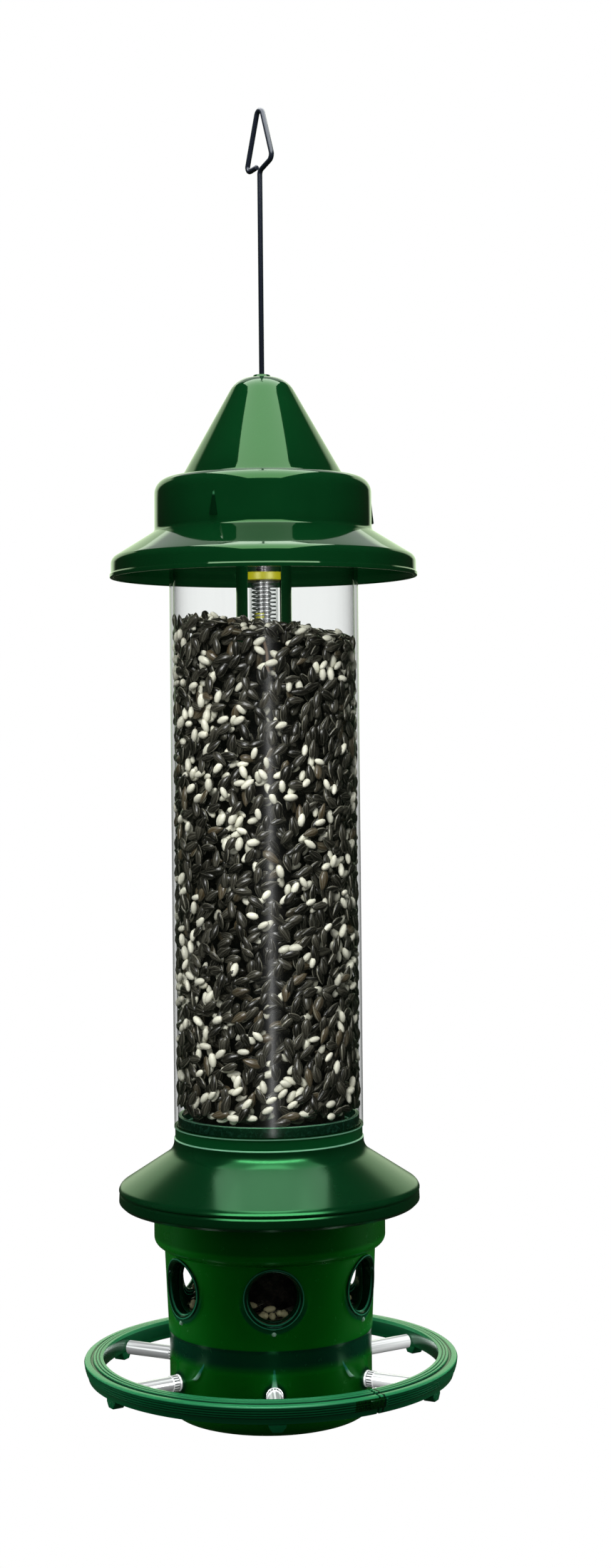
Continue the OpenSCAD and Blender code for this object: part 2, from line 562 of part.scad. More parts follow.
module pull_rod() color([0.55, 0.53, 0.54]) hung()
    translate([0, 0, 1.5]) cylinder(r = rod_r, h = spring_bottom - head_h - 1.5);

module rod_head() color([0.62, 0.63, 0.65]) hung() translate([0, 0, spring_bottom - head_h])
    cylinder(r = guard_ri - 0.35, h = head_h);

module rod_stop() color([0.62, 0.63, 0.65]) hung() ring_disc(7, rod_r, stop_z, stop_h);

module rod_spacer() color([0.10, 0.32, 0.14]) hung()
    ring_disc(rod_r + 1.8, rod_r, base_z + plate_t, stop_z - base_z - plate_t);

module base_plate() color([0.05, 0.30, 0.10]) hung() difference() {
    rotate_extrude() polygon([[rod_r, base_z], [13.6, base_z], [16, shroud_wall],
        [foot_in + 3.2, shroud_wall], [foot_in + 3.2, shroud_wall + plate_t],
        [17.6, shroud_wall + plate_t], [15.2, base_z + plate_t], [rod_r, base_z + plate_t]]);
    for (i = [0:11]) rotate([0, 0, i * 30 + 15]) translate([(foot_in + 18) / 2, 0, 0])
        cylinder(r = 4, h = 10, $fn = 32);
}

module base_washer() color([0.7, 0.7, 0.72]) hung() ring_disc(7, rod_r, base_z - 1.2, 1.2);

module base_nut() color([0.7, 0.7, 0.72]) hung() difference() {
    translate([0, 0, base_z - 5.2]) cylinder(r = 4.62, h = 4, $fn = 6);
    translate([0, 0, base_z - 6]) cylinder(r = rod_r, h = 6);
}

hanger_wire();
hanger_eye();
hanger_ferrule();
hanger_block();
column_sleeve();
column_screws();
screw_plate();
spring_tube();
tube_seat();
seed_tube();
tube_rim();
baffle();
feed_cup();
seed_diverter();
cup_bush();
seed_fill();
adjuster_screw();
adjuster_wheel();
setting_mark();
setting_nut();
spring();
wire_bush();
lid_shell();
lid_lock_ring();
shroud();
port_bezels();
perch_rods();
perch_collars();
perch_nuts();
ring_half_left();
ring_half_right();
ring_brackets();
ring_clasps();
pull_rod();
rod_head();
rod_stop();
rod_spacer();
base_plate();
base_washer();
base_nut();
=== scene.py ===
"""Hanging tube seed feeder: visible pieces, finishes and a plain studio, built round the CAD frame."""

import math

import bpy
import numpy as np
from mathutils import Matrix, Vector


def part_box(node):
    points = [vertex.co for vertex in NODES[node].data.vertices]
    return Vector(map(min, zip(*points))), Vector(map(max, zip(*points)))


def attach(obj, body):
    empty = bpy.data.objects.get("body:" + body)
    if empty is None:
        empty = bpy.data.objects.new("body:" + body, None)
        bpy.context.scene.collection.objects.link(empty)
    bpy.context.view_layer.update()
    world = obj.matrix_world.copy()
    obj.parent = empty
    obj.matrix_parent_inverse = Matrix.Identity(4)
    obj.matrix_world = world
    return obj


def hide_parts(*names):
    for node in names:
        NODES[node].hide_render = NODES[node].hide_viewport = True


bl_info = {
    "name": "Hanging Tube Feeder",
    "version": (1, 0, 0),
    "blender": (4, 5, 0),
    "location": "View3D > Sidebar > Feeder",
    "description": "Builds a hanging tube seed feeder round its CAD frame",
    "category": "Add Mesh",
}

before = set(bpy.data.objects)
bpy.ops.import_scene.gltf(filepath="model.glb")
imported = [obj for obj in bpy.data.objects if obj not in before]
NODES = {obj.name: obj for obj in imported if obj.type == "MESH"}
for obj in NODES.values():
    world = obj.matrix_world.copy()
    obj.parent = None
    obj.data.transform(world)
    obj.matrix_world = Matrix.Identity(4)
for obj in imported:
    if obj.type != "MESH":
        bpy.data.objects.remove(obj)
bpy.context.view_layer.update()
MM = 0.001
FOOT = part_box("shroud")[0].z  # heights below are in millimetres above the shroud's foot
TURN = 2 * math.pi
PORTS = 6


def low(node):
    """Height of a CAD node's lowest point above the foot, in millimetres."""
    return (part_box(node)[0].z - FOOT) / MM


def top(node):
    """Height of a CAD node's highest point above the foot, in millimetres."""
    return (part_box(node)[1].z - FOOT) / MM


def reach(node):
    """Half the width of a CAD node that stands round the axis, in millimetres."""
    return (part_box(node)[1].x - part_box(node)[0].x) / 2 / MM


TUBE_R = reach("seed_tube")
TUBE_LOW, TUBE_TOP = low("seed_tube"), top("seed_tube")
LID_FOOT, TIP_Z = low("lid_shell"), top("lid_shell")
BRIM_R = reach("lid_shell") - 0.7
TIER_R = TUBE_R + 7.5
BRIM_TOP, SHOULDER = LID_FOOT + 24.8, TUBE_TOP + 9.9  # foot and head of the lid's upright tier
FOOT_R, BELT_R, NECK_R, COLLAR_R = 54.3, 54.7, 56.6, 62.1  # shroud: foot, wall's two ends, collar
BELT_Z, NECK_Z = 44.7, 88.4
CUP_R = reach("feed_cup")
PORT_Z, PERCH_Z = 71.8, (low("perch_rods") + top("perch_rods")) / 2
PERCH_R = 3.8
NUB_DROP = 18.2  # from a port's middle down to its bright nub
SLEEVE_R = 14.95
SCREW_PITCH = 1.7
WALL = 2.0  # thickness of the tube, the sleeve and the shroud
NUT_Z = low("setting_nut")
RING_R, RING_TOP = 89.9, top("ring_half_left")
HANG = -FOOT / MM  # height of the bearing point in the hanger eye
SPIGOT = top("baffle") - TUBE_LOW
RIB_AT = -27.4  # degrees from the front to the lid's first rib
SPLIT_AT = 33  # degrees from the front to the ring's joint


# ---------------------------------------------------------------- settings

def colour(name, about, value):
    """A colour property with a linear default."""
    return bpy.props.FloatVectorProperty(
        name=name, description=about, default=value, size=3, min=0, max=1, subtype="COLOR")


def number(name, about, value, least=0, most=1, **more):
    """A number without a unit."""
    return bpy.props.FloatProperty(
        name=name, description=about, default=value, min=least, max=most, **more)


def length(name, about, value, least, most):
    """A length in metres."""
    return number(name, about, value, least, most, subtype="DISTANCE", unit="LENGTH", precision=5)


def count(name, about, value, least, most):
    """A whole number."""
    return bpy.props.IntProperty(name=name, description=about, default=value, min=least, max=most)


class FeederColours(bpy.types.PropertyGroup):
    """Colours of the mouldings, the metal and the seed."""

    moulding: colour("Moulding", "Gloss green of the lid and the column", (0.0012, 0.023, 0.0055))
    flare: colour("Baffle", "Green of the baffle under the tube", (0.0013, 0.034, 0.009))
    enamel: colour("Shroud", "Green enamel of the shroud", (0.0012, 0.098, 0.0040))
    ring: colour("Ring", "Green of the perch ring", (0.002, 0.075, 0.024))
    marker: colour("Marker", "Yellow of the setting nut, mark and wheel", (0.40, 0.38, 0.006))
    coating: colour("Wire coating", "Black coating of the hanger wire", (0.010, 0.013, 0.022))
    bright: colour("Bright metal", "Plated perches and collars", (0.90, 0.91, 0.92))
    steel: colour("Steel", "Plain steel of the fasteners", (0.55, 0.56, 0.58))
    hull: colour("Dark hull", "Sunflower hull", (0.012, 0.011, 0.008))
    pale: colour("Pale hull", "Safflower hull", (0.86, 0.85, 0.70))


class FeederSizes(bpy.types.PropertyGroup):
    """Sizes and fineness of the pieces."""

    facets: count("Facets", "Facets round the large turned pieces", 256, 48, 400)
    horn: length("Perch fairing", "How far a perch's fairing spreads on the wall", 0.012, 0.006, 0.016)
    seam: length("Ring seam", "Gap between the halves of the perch ring", 0.0007, 0.0001, 0.002)


class FeederSeed(bpy.types.PropertyGroup):
    """The seed behind the clear tube."""

    wall_seeds: count("Seeds at the wall", "Seeds in the layer that touches the tube", 1250, 200, 3000)
    pale_share: number("Pale seeds", "Share of safflower among the seeds", 0.27, subtype="FACTOR")
    hull_length: length("Hull length", "Mean length of a sunflower hull", 0.0106, 0.006, 0.014)
    shuffle: count("Shuffle", "Starting number of the random placing", 7, 1, 999)


class FeederStudio(bpy.types.PropertyGroup):
    """Light, floor and camera."""

    ambient: number("Ambient", "Soft light from all round", 0.22, subtype="FACTOR")
    overhead: number("Overhead box", "Brightness of the soft box over the lid", 6.0, 0, 40)
    floor_drop: length("Floor", "Distance from the foot down to the floor", 0.42, 0.05, 2)
    lens: number("Lens", "Focal length of the camera in millimetres", 52.6, 20, 200)


# ---------------------------------------------------------------- lines

def rounded(points, facets=6):
    """A line of (x, y, fillet) points with its corners rounded; a point without a fillet stays sharp."""
    line = []
    for i, p in enumerate(points):
        here = Vector(p[:2])
        if i in (0, len(points) - 1) or len(p) < 3:
            line.append(here)
            continue
        back = (Vector(points[i - 1][:2]) - here).normalized()
        on = (Vector(points[i + 1][:2]) - here).normalized()
        half = math.acos(max(-1, min(1, back.dot(on)))) / 2
        centre = here + (back + on).normalized() * p[2] / math.sin(half)
        first = here + back * p[2] / math.tan(half) - centre
        last = here + on * p[2] / math.tan(half) - centre
        start = math.atan2(first.y, first.x)
        sweep = (math.atan2(last.y, last.x) - start + math.pi) % TURN - math.pi
        for k in range(facets + 1):
            a = start + sweep * k / facets
            line.append(centre + Vector((math.cos(a), math.sin(a))) * p[2])
    return line


def inset(line, t):
    """The same line moved sideways by t, to the right of its direction."""
    moved = []
    for i, p in enumerate(line):
        d = (line[min(i + 1, len(line) - 1)] - line[max(i - 1, 0)]).normalized()
        moved.append(p + t * Vector((d.y, -d.x)))
    return moved


def fine(line, gap):
    """The same line with points no further than gap apart."""
    out = [line[0]]
    for a, b in zip(line, line[1:]):
        n = max(1, math.ceil((b - a).length / gap))
        out += [a.lerp(b, k / n) for k in range(1, n + 1)]
    return out


def height(mm):
    """A height above the foot in millimetres as a place on the Z axis."""
    return FOOT + mm * MM


def place(p):
    """A profile point, (radius, height above the foot) in millimetres, as a place at +X."""
    return Vector((p[0] * MM, 0, FOOT + p[1] * MM))


def ring(points):
    """A closed line of profile points."""
    return [place(p) for p in [*points, points[0]]]


# ---------------------------------------------------------------- modelling by operators

def start():
    """Leaves object mode's selection empty before a new primitive."""
    if bpy.context.object is not None and bpy.context.object.mode != "OBJECT":
        bpy.ops.object.mode_set(mode="OBJECT")
    bpy.ops.object.select_all(action="DESELECT")


def only(obj):
    """Selects one object and makes it the active one."""
    start()
    obj.select_set(True)
    bpy.context.view_layer.objects.active = obj


def settle():
    """Writes the active object's place, turn and scale into its mesh."""
    bpy.ops.object.transform_apply(location=True, rotation=True, scale=True)


def to_edit(action="SELECT"):
    """Goes into edit mode with every point selected, or none."""
    bpy.ops.object.mode_set(mode="EDIT")
    bpy.ops.mesh.select_all(action=action)


def to_object():
    """Goes back to object mode."""
    bpy.ops.object.mode_set(mode="OBJECT")


def draw(points):
    """Draws a line of edges through the points: a plane merged to one vertex, then extruded on."""
    start()
    bpy.ops.mesh.primitive_plane_add(size=0.01, location=points[0])
    to_edit()
    bpy.ops.mesh.merge(type="CENTER")
    for a, b in zip(points, points[1:]):
        bpy.ops.mesh.extrude_region_move(TRANSFORM_OT_translate={"value": b - a})


def tidy(obj, name, caps=False):
    """Merges doubles, closes the ends if asked, turns the faces outwards and puts the origin at nought."""
    only(obj)
    settle()
    to_edit()
    bpy.ops.mesh.remove_doubles(threshold=1e-6)
    if caps:
        bpy.ops.mesh.select_all(action="DESELECT")
        bpy.ops.mesh.select_mode(type="EDGE")
        bpy.ops.mesh.select_non_manifold()
        bpy.ops.mesh.edge_face_add()
        bpy.ops.mesh.select_mode(type="VERT")
        bpy.ops.mesh.select_all(action="SELECT")
    bpy.ops.mesh.normals_make_consistent(inside=False)
    to_object()
    if sum(f.normal.dot(f.center) * f.area for f in obj.data.polygons) < 0:
        to_edit()
        bpy.ops.mesh.flip_normals()
        to_object()
    obj.name = obj.data.name = name
    return obj


def local(points):
    """(distance from the axis, distance along it) in millimetres as places at +X of the origin."""
    return [Vector((x * MM, 0, z * MM)) for x, z in points]


def spun(name, points, steps, angle=TURN, caps=False):
    """A turned piece: its closed section drawn at +X and spun round the axis."""
    draw(points)
    bpy.ops.mesh.select_all(action="SELECT")
    bpy.ops.mesh.spin(steps=steps, angle=angle, center=(0, 0, 0), axis=(0, 0, 1))
    return tidy(bpy.context.object, name, caps)


def smooth(obj, angle):
    """Smooth shading, with edges sharper than the angle kept."""
    only(obj)
    bpy.ops.object.shade_smooth_by_angle(angle=math.radians(angle))
    return obj


def modify(obj, kind, **settings):
    """Adds a modifier, sets it and applies it."""
    only(obj)
    m = obj.modifiers.new(kind.title(), kind)
    for key, value in settings.items():
        setattr(m, key, value)
    bpy.ops.object.modifier_apply(modifier=m.name)


def bevelled(obj, width, segments=2, angle=40):
    """Rounds the edges sharper than the angle."""
    modify(obj, "BEVEL", width=width, segments=segments, limit_method="ANGLE",
           angle_limit=math.radians(angle), harden_normals=False)


def cut(obj, cutter):
    """Cuts the cutter's shape out of obj and removes the cutter."""
    modify(obj, "BOOLEAN", operation="DIFFERENCE", solver="EXACT", object=cutter)
    bpy.data.objects.remove(cutter)


def block(size, location):
    """A cube primitive of the given size in millimetres, centred at a place in metres."""
    start()
    bpy.ops.mesh.primitive_cube_add(size=1, location=location)
    cube = bpy.context.object
    cube.scale = Vector(size) * MM
    settle()
    return cube


def join(first, others):
    """Joins the others to the first piece."""
    only(first)
    for o in others:
        o.select_set(True)
    bpy.ops.object.join()


def six(obj, name):
    """Copies of obj, each with its own mesh, turned to the six ports and joined as one piece."""
    made = []
    for i in range(PORTS):
        only(obj)
        bpy.ops.object.duplicate()
        copy = bpy.context.object
        copy.rotation_euler = (0, 0, math.radians(i * 360 / PORTS))
        settle()
        made.append(copy)
    bpy.data.objects.remove(obj)
    join(made[0], made[1:])
    made[0].name = made[0].data.name = name
    return made[0]


def thickened(points, radius, resolution, name):
    """A round bar along a line of places, with closed ends."""
    draw(points)
    to_object()
    bpy.ops.object.convert(target="CURVE")
    line = bpy.context.object.data
    line.bevel_depth, line.bevel_resolution, line.use_fill_caps = radius, resolution, True
    bpy.ops.object.convert(target="MESH")
    return tidy(bpy.context.object, name)


def wound(obj, pitch, turns, sides, name, angle, **more):
    """A section at +X wound up round the axis, with its open ends of up to that many sides filled."""
    modify(obj, "SCREW", angle=TURN, screw_offset=pitch * MM, iterations=turns, steps=28,
           render_steps=28, **more)
    to_edit()
    bpy.ops.mesh.fill_holes(sides=sides)
    to_object()
    return smooth(tidy(obj, name), angle)


def outward(obj, mm):
    """Lays a piece drawn along +Z so that it points outwards at the front, mm above the foot."""
    only(obj)
    obj.rotation_euler = (math.pi / 2, 0, 0)
    obj.location = (0, 0, height(mm))
    settle()
    return obj


def points_of(obj):
    """The mesh's points as an array, in metres."""
    co = np.zeros(len(obj.data.vertices) * 3, np.float32)
    obj.data.vertices.foreach_get("co", co)
    return co.reshape(-1, 3).astype(float)


def set_points(obj, co):
    """Writes the points back."""
    obj.data.vertices.foreach_set("co", co.astype(np.float32).ravel())
    obj.data.update()


def merged_copy(node, name, width, segments):
    """A copy of a CAD node with its triangles merged into clean faces and its edges rounded."""
    copy = bpy.data.objects.new(name, NODES[node].data.copy())
    bpy.context.scene.collection.objects.link(copy)
    only(copy)
    bpy.ops.mesh.customdata_custom_splitnormals_clear()
    to_edit()
    bpy.ops.mesh.remove_doubles(threshold=2e-6)
    bpy.ops.mesh.dissolve_limited(angle_limit=math.radians(1))
    bpy.ops.mesh.normals_make_consistent(inside=False)
    to_object()
    bevelled(copy, width, segments)
    smooth(copy, 40)
    copy.name = copy.data.name = name
    return copy


def wall_curve(mm):
    """Outer radius of the shroud's wall at a height between its foot and its collar, in millimetres."""
    return BELT_R + (mm - BELT_Z) * (NECK_R - BELT_R) / (NECK_Z - BELT_Z)


def wrapped(name, section, steps, radius_at):
    """A ring round a port: its section of (distance from the port's axis, height proud of the wall) is
    spun, then laid on the curved wall at the front. A section that starts on the axis makes a plug."""
    obj = spun(name, local(section), steps)
    co = points_of(obj)
    side, up, proud = co[:, 0], co[:, 1], co[:, 2]
    radius = radius_at(PORT_Z + up / MM) * MM
    set_points(obj, np.stack([
        side, -(np.sqrt(np.maximum(radius ** 2 - side ** 2, 0)) + proud), height(PORT_Z) + up
    ], 1))
    return tidy(obj, name)


def finish_piece(obj, kind, body, slot, *replaced):
    """Gives a piece its finish and its CAD body, and hides the CAD nodes it stands for; slot is not used."""
    start()
    obj.data.materials.clear()
    obj.data.materials.append(finishes()[kind])
    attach(obj, body)
    if replaced:
        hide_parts(*replaced)


def eased(node, name, width, kind, body, slot, segments=2):
    """Puts an eased copy of a CAD node in the node's place."""
    finish_piece(merged_copy(node, name, width, segments), kind, body, slot, node)


# ---------------------------------------------------------------- shader nodes

def math_node(operation, swapped=False):
    """A method of Value that adds a Math node working on it and on another number."""
    def method(self, other=0):
        first, second = (other, self) if swapped else (self, other)
        return self.finish.add("ShaderNodeMath", {"operation": operation}, {0: first, 1: second})
    return method


class Value:
    """A number that a node gives; arithmetic on it adds Math nodes. Angles are in radians."""

    def __init__(self, finish, socket):
        self.finish, self.socket = finish, socket

    __add__ = __radd__ = math_node("ADD")
    __sub__, __rsub__ = math_node("SUBTRACT"), math_node("SUBTRACT", swapped=True)
    __mul__ = __rmul__ = math_node("MULTIPLY")
    __truediv__, __pow__ = math_node("DIVIDE"), math_node("POWER")
    sine, cosine, size = math_node("SINE"), math_node("COSINE"), math_node("ABSOLUTE")
    at_most, at_least = math_node("MINIMUM"), math_node("MAXIMUM")
    angle_over = math_node("ARCTAN2")


def distance(a, b):
    """Length of the line whose two sides at right angles are a and b."""
    return (a * a + b * b) ** 0.5


class Finish:
    """A node tree in the making: a material's, or the world's."""

    def __init__(self, name, owner=None):
        self.owner = owner or bpy.data.materials.new(name)
        self.owner.use_nodes = True
        self.tree = self.owner.node_tree
        self.tree.nodes.clear()

    def add(self, kind, settings=None, inputs=None, out=0):
        """Adds a node: its settings first, then its sockets' values or links; gives one of its outputs."""
        node = self.tree.nodes.new(kind)
        for key, value in (settings or {}).items():
            setattr(node, key, value)
        for key, value in (inputs or {}).items():
            self.put(self.find(node.inputs, key), value)
        return Value(self, self.find(node.outputs, out))

    @staticmethod
    def find(sockets, key):
        """A socket by its number, identifier or name."""
        if isinstance(key, int):
            return sockets[key]
        for s in sockets:
            if s.identifier == key:
                return s
        for s in sockets:
            if s.name == key and s.enabled:
                return s
        raise KeyError(f"no socket {key}")

    def put(self, socket, value):
        """Links a socket to a Value, or sets its number, colour or vector."""
        if isinstance(value, Value):
            self.tree.links.new(value.socket, socket)
        elif hasattr(value, "__len__"):
            want = len(socket.default_value)
            socket.default_value = (*value, 1) if want == 4 and len(value) == 3 else tuple(value)
        else:
            socket.default_value = value

    def coords(self, kind="Object"):
        """The surface's own coordinates."""
        return self.add("ShaderNodeTexCoord", out=kind)

    def noise(self, scale, detail, rough, vector=None):
        """Soft random value, about nought to one; scale is in cells per metre."""
        return self.add("ShaderNodeTexNoise", {}, {
            "Vector": vector or self.coords(), "Scale": scale, "Detail": detail, "Roughness": rough}, "Fac")

    def axis(self, which, vector=None):
        """One coordinate of a vector: X, Y or Z."""
        return self.add("ShaderNodeSeparateXYZ", {}, {0: vector or self.coords()}, which)

    def stretched(self, scale, vector=None):
        """A vector with each coordinate scaled."""
        return self.add("ShaderNodeVectorMath", {"operation": "MULTIPLY"},
                        {0: vector or self.coords(), 1: scale})

    def between(self, value, start_at, end_at):
        """Smooth step: nought before start_at, one after end_at."""
        return self.add("ShaderNodeMapRange", {"interpolation_type": "SMOOTHSTEP"}, {
            "Value": value, "From Min": start_at, "From Max": end_at})

    def band(self, value, start_at, end_at, soft):
        """One between the two ends and nought outside them, with soft edges."""
        return self.between(value, start_at - soft, start_at + soft) * (
            1 - self.between(value, end_at - soft, end_at + soft))

    def radius(self):
        """Distance from the feeder's axis."""
        return distance(self.axis("X"), self.axis("Y"))

    def angle(self):
        """Angle about the feeder's axis, from the front to the right."""
        return self.axis("X").angle_over(0 - self.axis("Y"))

    def from_port(self, angle):
        """The angle measured from the nearest port's middle plane."""
        return self.add("ShaderNodeMath", {"operation": "WRAP"}, {0: angle, 1: TURN / 12, 2: -TURN / 12})

    def at_port(self):
        """How far a place lies sideways from the nearest port's middle plane, and how far out along it."""
        near, r = self.from_port(self.angle()), self.radius()
        return r * near.sine(), r * near.cosine()

    def mix(self, factor, a, b):
        """One colour over another."""
        return self.add("ShaderNodeMix", {"data_type": "RGBA"}, {
            "Factor_Float": factor, "A_Color": a, "B_Color": b}, "Result_Color")

    def attribute(self, name):
        """A mesh attribute."""
        return self.add("ShaderNodeAttribute", {"attribute_name": name}, {}, "Fac")

    def hull_place(self):
        """The place on a seed: across its girth and along it, each from nought to one."""
        return self.add("ShaderNodeUVMap", {"uv_map": "Hull"})

    def bump(self, relief, depth, strength):
        """A bump whose full height is depth metres."""
        return self.add("ShaderNodeBump", {}, {"Height": relief, "Distance": depth, "Strength": strength})

    def principled(self, **sockets):
        """The main shader, its sockets named with underscores."""
        return self.add("ShaderNodeBsdfPrincipled", {},
                        {key.replace("_", " "): value for key, value in sockets.items()})

    def done(self, shader):
        """Links the shader to the output and returns the material."""
        self.add_output("ShaderNodeOutputMaterial", shader)
        return self.owner

    def add_output(self, kind, shader):
        """Adds the output node."""
        node = self.tree.nodes.new(kind)
        self.tree.links.new(shader.socket, node.inputs["Surface"])


def tinted(base, factor):
    """A colour made lighter or darker."""
    return tuple(min(1.0, c * factor) for c in base)


def moulded(name, base, rough, tint, peel, dust, spec=0.5, marks=None):
    """Gloss moulded plastic: a slight flow mottle in its colour, orange peel and a film of dust.
    marks lays painted shade, painted highlights and a few marks of the part's own, such as the ring's seam,
    over the colour, given the finish and the shade so far."""
    f = Finish(name)
    flow = f.noise(38, 3, 0.55)
    film = f.between(f.noise(210, 4, 0.7), 0.55, 0.85)
    shade = f.mix(flow, tinted(base, 0.82), tinted(base, 1.2))
    if marks:
        shade = marks(f, shade)
    shade = f.mix(film * dust * 0.05, shade, (0.32, 0.36, 0.30))
    peel_bump = f.bump(f.noise(620, 1, 0.4), 0.00002 * peel, 0.5)
    return f.done(f.principled(
        Base_Color=shade, Roughness=film * dust * 0.25 + (flow * 0.03 + rough - 0.015), Normal=peel_bump,
        IOR=1.5, Specular_IOR_Level=spec, Specular_Tint=tint))


def metal(name, base, rough, streak, metallic=1.0):
    """Metal with fine scratches, drawn out along the axis for which streak is smallest."""
    f = Finish(name)
    lines = f.noise(900, 3, 0.6, f.stretched(streak))
    cloud = f.noise(130, 3, 0.6)
    shade = f.mix(cloud, tinted(base, 0.80), tinted(base, 1.12))
    return f.done(f.principled(
        Base_Color=shade, Metallic=metallic, Roughness=lines * 0.08 + cloud * 0.05 + rough,
        Normal=f.bump(lines, 0.000012, 0.4)))


def plated(name, base, knurled=False):
    """Bright plate drawn out lengthwise: fine dark lines along a perch as painted reflections, or painted
    shade in the gaps and grooves of a collar's knurl.
    """
    f = Finish(name)
    across, out = f.at_port()
    above = f.axis("Z") - height(PERCH_Z)
    section = f.add("ShaderNodeCombineXYZ", {}, {0: across, 1: above, 2: out * 0.01})
    # painted reflections: fine dark lines drawn out along each perch
    lines = f.between(f.noise(330, 2, 0.6, section), 0.50, 0.60) * 0.62
    if knurled:
        # painted shade between the knurl's teeth and in its grooves
        teeth = f.between((above.angle_over(across) * 18).cosine(), -0.35, 0.25)
        band = f.band(out, (FOOT_R + 4.5) * MM, (FOOT_R + 7.5) * MM, 0.0002)
        grooves = f.band(out, (FOOT_R + 3.95) * MM, (FOOT_R + 4.3) * MM, 0.0001)
        lines = ((1 - teeth) * band * 0.95 + grooves).at_least(lines * 0.5).at_most(1.0)
    cloud = f.noise(160, 3, 0.6)
    shade = f.mix(cloud, tinted(base, 0.92), base)
    return f.done(f.principled(
        Base_Color=f.mix(lines, shade, (0.035, 0.040, 0.042)), Metallic=cloud * 0.1 + 0.30,
        Roughness=cloud * 0.06 + 0.14, Normal=f.bump(lines, 0.00006, 0.4)))


def clear(name, haze, edge_tone, edge_power, weight, level=0.5):
    """Clear plastic: seen through face on, darker seen edge on, with a gloss and a little dust."""
    f = Finish(name)
    facing = f.add("ShaderNodeLayerWeight", {}, {"Blend": 0.5}, "Facing")
    marks = f.between(f.noise(90, 4, 0.65), 0.58, 0.80)
    body = f.principled(Base_Color=f.mix(marks, edge_tone, tinted(edge_tone, 1.15)),
                        Roughness=marks * 0.06 + 0.03, IOR=1.45, Specular_IOR_Level=level)
    see = f.add("ShaderNodeBsdfTransparent", {}, {"Color": (0.985, 0.992, 0.988)})
    streaks = f.noise(1, 3, 0.6, f.stretched((260, 260, 1.5)))
    factor = (facing ** edge_power) * weight + marks * 0.004 + f.between(streaks, 0.5, 0.8) * 0.015 + haze
    walls = f.add("ShaderNodeMixShader", {}, {0: factor.at_most(1.0), 1: see, 2: body})
    gloss = f.add("ShaderNodeBsdfGlossy", {}, {"Color": (1, 1, 1), "Roughness": 0.2})
    return f.done(f.add("ShaderNodeMixShader", {}, {0: 0.015, 1: walls, 2: gloss}))


def neck_painted_light(f, shade):
    """A dark mottle on the spigot, painted light on the neck between its two steps, and painted highlights on
    the edges of the steps and, fainter, on the spigot's lip.
    """
    z, neck = f.axis("Z"), TUBE_LOW - 6.5
    mottle = f.between(f.noise(420, 4, 0.75), 0.46, 0.66)
    spigot = f.between(z, height(TUBE_LOW + 0.3), height(TUBE_LOW + 0.5))
    shade = f.mix(spigot * 0.9, shade, f.mix(mottle, (0.001, 0.018, 0.009), (0.010, 0.062, 0.038)))
    # painted light: the band of neck between its two steps is made lighter
    shade = f.mix(f.band(z, height(neck), height(TUBE_LOW), 0.0002), shade, (0.0035, 0.085, 0.021))
    # painted highlights on the edges of the two neck steps and, fainter, on the spigot's lip
    lip = f.band(z, height(TUBE_LOW + SPIGOT - 0.5), height(TUBE_LOW + SPIGOT + 1), 0.0001)
    edges = f.band(z, height(TUBE_LOW - 0.75), height(TUBE_LOW - 0.1), 0.00012)
    edges = edges + f.band(z, height(neck - 0.35), height(neck + 0.3), 0.00012) + lip * 0.35
    return f.mix(edges.at_most(0.9), shade, (0.24, 0.55, 0.36))


def rib_painted_light(f, shade):
    """Painted shade on the flanks of the tier's wedge ribs and a painted highlight on their tips."""
    z = f.axis("Z")
    rib = f.between(f.radius() / MM, TIER_R + 0.35, TIER_R + 0.45)
    rib = rib * f.band(z, height(BRIM_TOP + 3.6), height(BRIM_TOP + 17.5), 0.0002)
    tip = f.between(z, height(BRIM_TOP + 14), height(BRIM_TOP + 15.5))
    # painted shade on the ribs' flanks, turning to a painted highlight at their tips
    return f.mix(rib * 0.8, shade, f.mix(tip, (0.0003, 0.006, 0.002), (0.03, 0.13, 0.06)))


def shroud_painted_light(f, shade):
    """Painted shade on the belt over the perches, round the perch collars, under the port rims, towards the
    foot and on the collar; painted highlights on the swept horns and the nubs.
    """
    z = f.axis("Z")
    across, out = f.at_port()
    # painted shade: the dark belt over the perches
    belt = f.between(z, height(31.5), height(37.5)) * (1 - f.between(z, height(44.4), height(45.2)))
    shade = f.mix(belt * 0.88, shade, (0.0012, 0.017, 0.014))
    above = z - height(PERCH_Z)
    off = distance(across, above)
    wall = f.between(out, 0.050, 0.0505)
    # painted shade round each perch's collar
    shade = f.mix((1 - f.between(off, 0.0050, 0.0072)) * 0.9, shade, (0.0004, 0.010, 0.007))
    # painted highlight on the swept horn over each perch, brightest near the collar
    angle = f.angle()
    near = f.from_port(angle)
    climb = ((above - 0.0023) * 100).at_least(0.0).at_most(1.0)
    sweep = (angle - near).sine() * ((climb ** 0.4) * -0.0119 - 0.0074)
    horn = 1 - f.between((across - sweep).size() - (1 - climb) * 0.0013, 0.0, 0.0007)
    horn = horn * f.band(above, 0.0035, 0.0125, 0.0008)
    glint = f.mix(f.between(above, 0.0050, 0.0085), (0.26, 0.50, 0.38), (0.018, 0.17, 0.125))
    shade = f.mix(horn * wall * 0.95, shade, glint)
    # painted shade, darker towards the foot
    shade = f.mix((1 - f.between(z, height(4), height(16))) * 0.6, shade, (0.0008, 0.030, 0.003))
    up = z - height(PORT_Z)
    ring_off = distance(across, up)
    # painted shadow under each port's rim
    rim_shadow = f.band(ring_off, 0.0155, 0.0182, 0.0006) * (1 - f.between(up, -0.009, 0.002))
    shade = f.mix(rim_shadow * 0.75, shade, (0.0006, 0.026, 0.018))
    # painted highlight on each nub, laid on last
    nub = 1 - f.between(distance(across, up + NUB_DROP * MM), 0.0011, 0.0013)
    # painted shade on the top collar
    shade = f.mix(f.between(z, height(94), height(96)) * 0.5, shade, (0.0004, 0.016, 0.002))
    return f.mix(nub * wall, shade, (0.34, 0.52, 0.42))


